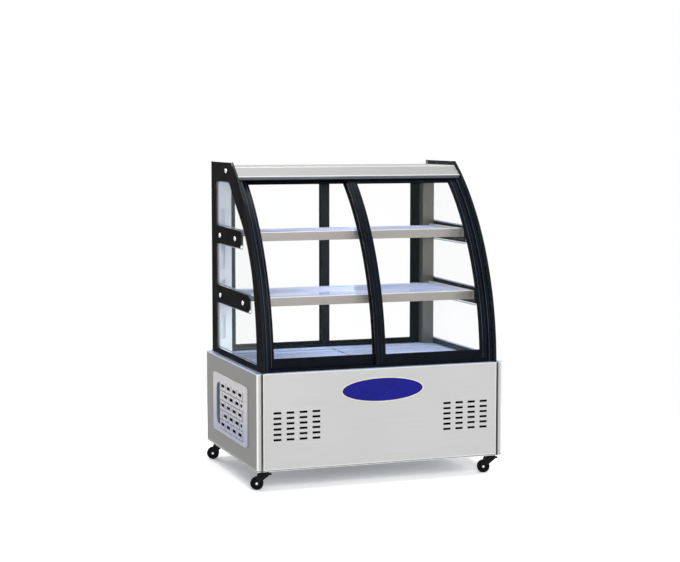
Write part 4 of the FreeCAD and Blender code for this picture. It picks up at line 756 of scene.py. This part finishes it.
def window_outline():
    """The clear part of a side glass, round the two fingers that hide the shelf brackets."""
    rear = rounded([
        (*FRONT_BAND[-1], 0),
        (REAR_BAND, SILL_BAND, BAND_CORNER),
        (REAR_BAND, 0.651, BAND_CORNER),  # the middle shelf's finger
        (-0.176, 0.651, 0.016),
        (-0.186, 0.717, 0.022),
        (REAR_BAND, 0.722, BAND_CORNER),
        (REAR_BAND, 0.890, BAND_CORNER),  # the upper shelf's finger
        (-0.066, 0.889, 0.008),
        (-0.070, 0.955, 0.008),
        (REAR_BAND, 0.962, BAND_CORNER),
        (REAR_BAND, TOP_BAND, BAND_CORNER),
        (*FRONT_BAND[0], 0),
    ])
    return rear[:-1] + [Vector(point) for point in smooth_run(FRONT_BAND)[:-1]]


def glass_outline(inset):
    """The side glass's own outline, a little inside its cut edge."""
    radius = CURVE_RADIUS - inset
    top, low = GLASS_TOP - inset, DECK + 0.0005
    steps = 40
    levels = [low + (top - low) * step / steps for step in range(steps + 1)]
    front = [Vector((arc_y(radius, level), level)) for level in levels]
    corner = front[-1]
    front = [point for point in front if (point - corner).length > GLASS_CORNER + 0.001]
    turn = rounded([(*front[-1], 0), (*corner, GLASS_CORNER), (BACK - inset, top, 0.002)])[1:-7]
    return front + turn + [Vector((BACK - inset, top)), Vector((BACK - inset, low))]


def inset_loop(loop, distance):
    """The same loop moved inwards, point by point."""
    area = sum(a.x * b.y - b.x * a.y for a, b in zip(loop, loop[1:] + loop[:1]))
    sign = 1 if area > 0 else -1
    moved = []
    for index, here in enumerate(loop):
        before, after = loop[index - 1], loop[(index + 1) % len(loop)]
        first, second = (here - before).normalized(), (after - here).normalized()
        normal = Vector((-(first.y + second.y), first.x + second.x)).normalized() * sign
        spread = max(0.5, normal.dot(Vector((-first.y, first.x)) * sign))
        moved.append(here + normal * (distance / spread))
    return moved


WINDOW = window_outline()
SIDES = ((-1, "left"), (1, "right"))
for side, name in SIDES:
    face = side * (GLASS_OUT + PRINT_GAP)
    printed = plate(Builder(), [glass_outline(0.0012), WINDOW], on_x, face, face + side * PRINT_THICK)
    printed.finish(f"side_print_{name}", M_PRINT, slot="side_glass")
    inner = side * (GLASS_IN - PRINT_GAP)
    edging = [WINDOW, inset_loop(WINDOW, MARGIN_WIDTH)]
    margin = plate(Builder(), edging, on_x, inner, inner - side * PRINT_THICK)
    margin.finish(f"print_margin_{name}", M_MARGIN, slot="side_glass")

CAPS = ((0.120, 1.182), (0.213, 0.923), (-0.002, 0.923), (0.213, 0.683), (-0.105, 0.683))  # (y, z)
CAP_PROFILE = (  # (height, radius)
    (0.0, 0.0), (0.0, 0.0095), (0.0035, 0.0095), (0.0052, 0.0090), (0.0066, 0.0074), (0.0074, 0.0045), (0.0077, 0.0),
)
for side, name in SIDES:
    caps = Builder()
    for y, z in CAPS:
        revolve(caps, CAP_PROFILE, (side * (GLASS_OUT + 0.0005), y, z), (side, 0, 0), 36)
    caps.finish(f"cap_fasteners_{name}", M_CHROME, slot="side_glass")


# ------------------------------------------------------------------ ribs, gaskets and seals of the curved front
# Middles of the ribs from the middle of the case: the one with a bright painted highlight first, the faint one second.
JAMB_RIBS = (0.4530, 0.4612)
STILE_RIBS = (0.4283, 0.4410)
MULLION_RIBS = (-0.0075, 0.0075)
RIB_HALF, MULLION_RIB_HALF = 0.0007, 0.0006
RIB_FOOT = 0.0003  # depth to which a rib stands in its profile


def rib(builder, across, half, face, rise, low, high, tag):
    """A thin rib along a curved profile's face."""
    arc_bar(builder, across - half, across + half, face + rise, face - RIB_FOOT, low, high, tag=tag)


for side, name in SIDES:
    ribs = Builder()
    for tag, across in enumerate(JAMB_RIBS):
        rib(ribs, side * across, RIB_HALF, JAMB_FACE, 0.0009, DECK + 0.0005, HEADER_LOW - 0.0005, tag)
    ribs.finish(f"jamb_ribs_{name}", [M_RIB, M_FAINT_RIB], slot="black_profile")


def door_trim(name, side, face):
    """Ribs on a front door's stiles and the rubber bead round its pane."""
    low, high = DECK + 0.014, HEADER_LOW - 0.004
    ribs = Builder()
    for tag, across in enumerate(STILE_RIBS):
        rib(ribs, side * across, RIB_HALF, face, 0.0008, low, high, tag)
    if side > 0:
        for across in MULLION_RIBS:
            rib(ribs, across, MULLION_RIB_HALF, face, 0.0008, low, high, 1)
    pane_low, pane_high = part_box(f"front_door_{name}_pane")
    ribs.finish(f"door_ribs_{name}", [M_RIB, M_FAINT_RIB], f"front_door_{name}", "black_profile")
    left, right = pane_low[0] - 0.0002, pane_high[0] + 0.0002
    sill, lintel = pane_low[2] - 0.0001, pane_high[2] + 0.0002
    bead, middle = 0.0035, face - DOOR_THICK / 2
    gasket = Builder()
    near, proud = 0.0026, 0.0045  # the bead's back and face from the pane's middle
    for outer, inner in ((middle + proud, middle + near), (middle - near, middle - proud)):
        arc_bar(gasket, left, left + bead, outer, inner, sill, lintel)
        arc_bar(gasket, right - bead, right, outer, inner, sill, lintel)
        arc_bar(gasket, left + bead, right - bead, outer, inner, sill, sill + bead, 2)
        arc_bar(gasket, left + bead, right - bead, outer, inner, lintel - bead, lintel, 2)
    gasket.finish(f"pane_gasket_{name}", M_GASKET, f"front_door_{name}", "black_profile")


door_trim("right", 1, OUTER_FACE)
door_trim("left", -1, INNER_FACE)


def rear_gasket(name):
    """A square bead on both faces of a rear pane, against its frame."""
    low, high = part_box(f"rear_door_{name}_pane")
    bite, bead = 0.0083, 0.003
    left, right = low[0] + bite, high[0] - bite
    sill, lintel = low[2] + bite, high[2] - bite
    gasket = Builder()
    for near, far in ((low[1] - 0.002, low[1] - 0.0001), (high[1] + 0.0001, high[1] + 0.002)):
        outer = [Vector(p) for p in ((left, sill), (right, sill), (right, lintel), (left, lintel))]
        inner = [Vector(p) for p in (
            (left + bead, sill + bead), (right - bead, sill + bead),
            (right - bead, lintel - bead), (left + bead, lintel - bead),
        )]
        plate(gasket, [outer, inner], on_y, near, far)
    gasket.finish(f"rear_gasket_{name}", M_GASKET, f"rear_door_{name}", "rear_profile")


for name in ("left", "right"):
    rear_gasket(name)

seals = Builder()
for side, _ in SIDES:
    close, far = side * (GLASS_OUT + 0.0006), side * (GLASS_OUT + 0.0046)
    corners = [(close, DECK, 0), (far, DECK, 0), (far, DECK + 0.0012, 0.0006), (close, DECK + 0.0035, 0.0006)]
    plate(seals, [rounded(corners, 3)], on_y, FRONT + 0.004, BACK - 0.001)
seals.finish("glass_seals", M_GASKET, slot="black_profile")


# ------------------------------------------------------------------ plaque
PLAQUE_LEVEL, PLAQUE_HALF, PLAQUE_RISE = 0.3610, 0.167, 0.0475
PLAQUE_RIM = 0.0036


def oval(half_width, half_height, steps=72):
    """A flat oval about the plaque's middle."""
    turn = 2 * math.pi / steps
    return [
        Vector((half_width * math.cos(turn * step), PLAQUE_LEVEL + half_height * math.sin(turn * step)))
        for step in range(steps)
    ]


plaque = Builder()
field = oval(PLAQUE_HALF - PLAQUE_RIM, PLAQUE_RISE - PLAQUE_RIM)
plate(plaque, [oval(PLAQUE_HALF, PLAQUE_RISE), field], on_y, PANEL_FACE - 0.0022, PANEL_FACE, 0)
plate(plaque, [field], on_y, PANEL_FACE - 0.0014, PANEL_FACE, 1)
plaque.finish("plaque", [M_CREAM, M_BLUE], slot="white_plastic")


# ------------------------------------------------------------------ wire racks
WIRE = 0.0015  # radius
ROD_SHARES = (0.012, 0.3, 0.6, 0.9)  # cross rods from the front, as shares of the depth
SHELF_GAPS, FLOOR_GAPS = 66, 33  # gaps between the wires
FLOOR_SPLIT = 0.008  # the floor racks' inner ends from the middle


def rack(name, spans, wires):
    """Round wires over cross rods, in the place of the CAD rack's wider-spaced square ones."""
    low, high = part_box(name)
    top = high[2] - WIRE
    under = top - 2 * WIRE - 0.0002
    mesh = Builder()
    for left, right in spans:
        for index in range(wires + 1):
            x = left + WIRE + (right - left - 2 * WIRE) * index / wires
            rod(mesh, (x, low[1] + 0.001, top), (x, high[1] - 0.0005, top), WIRE, 6)
        for share in ROD_SHARES:
            y = low[1] + (high[1] - low[1]) * share
            rod(mesh, (left, y, under), (right, y, under), WIRE * 1.1, 8)
    piece = mesh.finish(f"{name}_wires", M_RACK, slot="coated_wire")
    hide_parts(name)


for name in ("upper_rack", "middle_rack"):
    low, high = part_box(name)
    rack(name, ((low[0], high[0]),), SHELF_GAPS)
low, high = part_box("floor_racks")
rack("floor_racks", ((low[0], -FLOOR_SPLIT), (FLOOR_SPLIT, high[0])), FLOOR_GAPS)


# ------------------------------------------------------------------ vent grille, duct and small fasteners
SCREW = 0.0034, 0.0016  # radius and height of a screw's head
GRILLE_FACE = -0.504


def screw(builder, place, axis):
    """A domed screw head with a socket."""
    radius, height = SCREW
    profile = (
        (0.0, 0.0), (0.0, radius), (height * 0.45, radius), (height * 0.8, radius * 0.8),
        (height, radius * 0.45), (height, radius * 0.2), (height * 0.4, 0.0),
    )
    revolve(builder, profile, place, axis, 20)


grille_low, grille_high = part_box("vent_grille")
screws = Builder()
for y in (0.215, 0.009, -0.197):
    for z in (grille_low[2] + 0.012, grille_high[2] - 0.012):
        screw(screws, (GRILLE_FACE, y, z), (-1, 0, 0))
screws.finish("grille_screws", M_CHROME, slot="white_plastic")

screws = Builder()
rear_low, rear_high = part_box("rear_panel")
for x in (-0.455, -0.152, 0.152, 0.455):
    for z in (rear_low[2] + 0.016, rear_high[2] - 0.016):
        screw(screws, (x, rear_high[1], z), (0, 1, 0))
screws.finish("rear_panel_screws", M_CHROME, slot="panel_steel")

duct_low, duct_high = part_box("side_duct_left")
lining = bar(
    Builder(), (duct_low[0] + 0.0025, duct_low[1] + 0.007, duct_low[2] + 0.001),
    (duct_high[0] - 0.0025, duct_low[1] + 0.0085, duct_high[2] - 0.027),
)
lining.finish("duct_baffle", M_DUCT_PLASTIC, slot="pale_duct", bevel=0.0003)


def slot_shade_sheet(name, low, high):
    """Painted shade: a near-black sheet behind a set of slots, standing in for the shade inside the base."""
    bar(Builder(), low, high).finish(name, M_SLOT_SHADE, slot="foam", bevel=0.0002)


slot_shade_sheet("dust_mat_side", (-0.4993, -0.2035, 0.170), (-0.4985, 0.136, 0.349))
for side, name in SIDES:
    start, end = sorted((side * 0.246, side * 0.440))
    slot_shade_sheet(f"dust_mat_front_{name}", (start, -0.3487, 0.184), (end, -0.3478, 0.301))


# ------------------------------------------------------------------ casters
HALF_WHEEL = (  # (distance from the middle, radius), from the bore over the dished hub to the tread
    (0.0090, 0.0044), (0.0090, 0.0070), (0.0079, 0.0078), (0.0079, 0.0158), (0.0090, 0.0166),
    (0.0090, 0.0196), (0.0084, 0.0200), (0.0084, 0.0210), (0.0090, 0.0214), (0.0082, 0.0238), (0.0060, 0.0249),
)
WHEEL_PROFILE = [(-height, radius) for height, radius in HALF_WHEEL] + list(HALF_WHEEL[::-1])
WHEEL_TAGS = [0, 1, 1, 1, 1, 2, 2, 2, 0, 0, 0, 0, 0, 2, 2, 2, 1, 1, 1, 1, 0, 0]  # tyre, hub or groove for each step
NUT = ((0.0123, 0.0), (0.0123, 0.0046), (0.0146, 0.0046), (0.0156, 0.0036), (0.0162, 0.0020), (0.0164, 0.0))
BOLT = ((0, 0), (0, 0.0032), (0.0018, 0.0032), (0.0024, 0.0026), (0.0024, 0))
PLATE_X, PLATE_Y, BOLT_REACH = 0.465, 0.308, 0.0225  # a caster plate's middle, and its bolts from there
for corner in ("front_left", "front_right", "rear_left", "rear_right"):
    joint = JOINTS[f"wheel_{corner}_roll"]
    place, axis = Vector(joint["pos_m"]), Vector(joint["axis"]).normalized()
    wheel = revolve(Builder(), WHEEL_PROFILE, place, axis, 48, WHEEL_TAGS)
    piece = wheel.finish(f"wheel_{corner}", [M_TYRE, M_HUB, M_FORK], f"wheel_{corner}", "tyre", 28)
    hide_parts(f"caster_wheel_{corner}")
    caps = Builder()
    for sign in (-1, 1):
        revolve(caps, NUT, place, axis * sign, 24)
    caps.finish(f"axle_caps_{corner}", M_CHROME, f"caster_{corner}", "caster_steel")

bolts = Builder()
plates_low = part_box("caster_plates")[0][2]
for x, y, dx, dy in product((-PLATE_X, PLATE_X), (-PLATE_Y, PLATE_Y), *[(-BOLT_REACH, BOLT_REACH)] * 2):
    revolve(bolts, BOLT, (x + dx, y + dy, plates_low), (0, 0, -1), 6)
bolts.finish("caster_bolts", M_CHROME, slot="caster_steel")


# ------------------------------------------------------------------ controls at the rear
BOX_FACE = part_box("control_box")[1][1]
KEY = ((0, 0), (0, 0.0024), (0.0008, 0.0024), (0.0012, 0.0018), (0.0012, 0))
KEY_START, KEY_PITCH, KEY_LEVEL = 0.3925, 0.0055, 0.2055
INLET_PINS = ((0.393, 0.168), (0.407, 0.168), (0.400, 0.1765))  # (x, z)
window = Builder()
corners = [(0.356, 0.197, 0.002), (0.384, 0.197, 0.002), (0.384, 0.214, 0.002), (0.356, 0.214, 0.002)]
plate(window, [rounded(corners)], on_y, BOX_FACE, BOX_FACE + 0.0004)
window.finish("controller_window", M_PRINT, slot="dark_plastic")
keys = Builder()
for index in range(3):
    revolve(keys, KEY, (KEY_START + KEY_PITCH * index, BOX_FACE, KEY_LEVEL), (0, 1, 0), 20)
keys.finish("controller_keys", M_BOX, slot="dark_plastic")
pins = Builder()
for x, z in INLET_PINS:
    bar(pins, (x - 0.0011, 0.3322, z - 0.0024), (x + 0.0011, 0.3440, z + 0.0024))
pins.finish("inlet_contacts", M_CHROME, slot="box_paint", bevel=0.0003)


# ------------------------------------------------------------------ stage, light and camera
def floor_material():
    """Pale floor: it takes the case's shadow near by and runs out into plain white further off."""
    material = bpy.data.materials.new("floor")
    material.use_nodes = True
    tree = material.node_tree
    tree.nodes.clear()
    output = tree.nodes.new("ShaderNodeOutputMaterial")
    plain, pale = (tree.nodes.new("ShaderNodeBsdfDiffuse") for _ in range(2))
    plain.inputs["Color"].default_value = (0.8, 0.8, 0.8, 1)
    pale.inputs["Color"].default_value = (1.65, 1.62, 1.59, 1)
    white = tree.nodes.new("ShaderNodeEmission")
    place = tree.nodes.new("ShaderNodeTexCoord")
    reach = tree.nodes.new("ShaderNodeVectorMath")
    reach.operation = "LENGTH"
    spread = tree.nodes.new("ShaderNodeMapRange")
    spread.interpolation_type = "SMOOTHSTEP"
    spread.inputs["From Min"].default_value = 1.1
    spread.inputs["From Max"].default_value = 2.0
    near_far, mirrored, mix = (tree.nodes.new("ShaderNodeMixShader") for _ in range(3))
    path = tree.nodes.new("ShaderNodeLightPath")
    tree.links.new(place.outputs["Object"], reach.inputs[0])
    tree.links.new(reach.outputs["Value"], spread.inputs["Value"])
    tree.links.new(spread.outputs[0], near_far.inputs[0])
    tree.links.new(pale.outputs[0], near_far.inputs[1])
    tree.links.new(white.outputs[0], near_far.inputs[2])
    tree.links.new(seen(tree), mirrored.inputs[0])
    tree.links.new(plain.outputs[0], mirrored.inputs[1])
    tree.links.new(white.outputs[0], mirrored.inputs[2])
    tree.links.new(path.outputs["Is Camera Ray"], mix.inputs[0])
    tree.links.new(mirrored.outputs[0], mix.inputs[1])
    tree.links.new(near_far.outputs[0], mix.inputs[2])
    tree.links.new(mix.outputs[0], output.inputs["Surface"])
    return material


def seen(tree):
    """1 for camera, mirror and see-through rays, so that they all show the pale background."""
    path = tree.nodes.new("ShaderNodeLightPath")
    joined = path.outputs["Is Camera Ray"]
    for name in ("Is Glossy Ray", "Is Transmission Ray"):
        either = tree.nodes.new("ShaderNodeMath")
        either.operation = "MAXIMUM"
        tree.links.new(joined, either.inputs[0])
        tree.links.new(path.outputs[name], either.inputs[1])
        joined = either.outputs[0]
    return joined


def make_stage():
    """A pale floor, and a world that lights softly and shows white."""
    mesh = bpy.data.meshes.new("floor")
    reach = 40
    corners = [(-reach, -reach, 0), (reach, -reach, 0), (reach, reach, 0), (-reach, reach, 0)]
    mesh.from_pydata(corners, [], [(0, 1, 2, 3)])
    mesh.materials.append(floor_material())
    floor = bpy.data.objects.new("floor", mesh)
    SCENE.collection.objects.link(floor)

    world = bpy.data.worlds.new("studio")
    world.use_nodes = True
    tree = world.node_tree
    tree.nodes.clear()
    output = tree.nodes.new("ShaderNodeOutputWorld")
    soft, white = (tree.nodes.new("ShaderNodeBackground") for _ in range(2))
    soft.inputs["Color"].default_value = (0.94, 0.97, 1.0, 1)
    soft.inputs["Strength"].default_value = 0.33
    white.inputs["Color"].default_value = (1, 1, 1, 1)
    mix = tree.nodes.new("ShaderNodeMixShader")
    tree.links.new(seen(tree), mix.inputs[0])
    tree.links.new(soft.outputs[0], mix.inputs[1])
    tree.links.new(white.outputs[0], mix.inputs[2])
    tree.links.new(mix.outputs[0], output.inputs["Surface"])
    SCENE.world = world


def area_light(name, place, target, size, power, depth=None):
    """A lamp of a size by a depth that looks at a target."""
    light = bpy.data.lights.new(name, "AREA")
    light.shape = "RECTANGLE"
    light.size, light.size_y = size, depth or size
    light.energy = power
    lamp = bpy.data.objects.new(name, light)
    lamp.location = place
    lamp.rotation_euler = (Vector(target) - Vector(place)).to_track_quat("-Z", "Y").to_euler()
    lamp.visible_camera = False
    SCENE.collection.objects.link(lamp)


make_stage()
area_light("key", (-0.7, -4.9, 2.8), (0, 0, 0.5), 3.0, 150)
area_light("top", (0.0, 0.2, 4.2), (0, 0, 0.4), 1.8, 70)
area_light("side", (4.4, 0.2, 2.6), (0, 0, 0.6), 2.5, 75)
area_light("back", (-0.9, 4.4, 2.6), (0, 0, 0.6), 2.5, 60)
SHELF_LIGHTS = (("upper", 0.12, 1.140, 0.12), ("middle", 0.06, 0.880, 0.2), ("lower", 0.02, 0.645, 1.9))
for name, y, z, power in SHELF_LIGHTS:
    area_light(f"{name}_shelf_light", (0, y, z), (0, y, 0), 0.8, power, 0.3)
area_light("duct_light", (0.05, 0.1, 0.8), (-0.46, 0.28, 0.8), 0.3, 2.6, 0.6)

camera_data = bpy.data.cameras.new("camera")
camera_data.sensor_width = 36
camera_data.lens = 86.65  # fitted to the photograph, as the place and the angles are
camera_data.clip_end = 200
camera = bpy.data.objects.new("camera", camera_data)
camera.location = (-2.2372, -6.0849, 1.3427)
camera.rotation_euler = (math.radians(90 - 5.28), 0, math.radians(-19.80))
SCENE.collection.objects.link(camera)
SCENE.camera = camera
SCENE.view_settings.view_transform = "Standard"
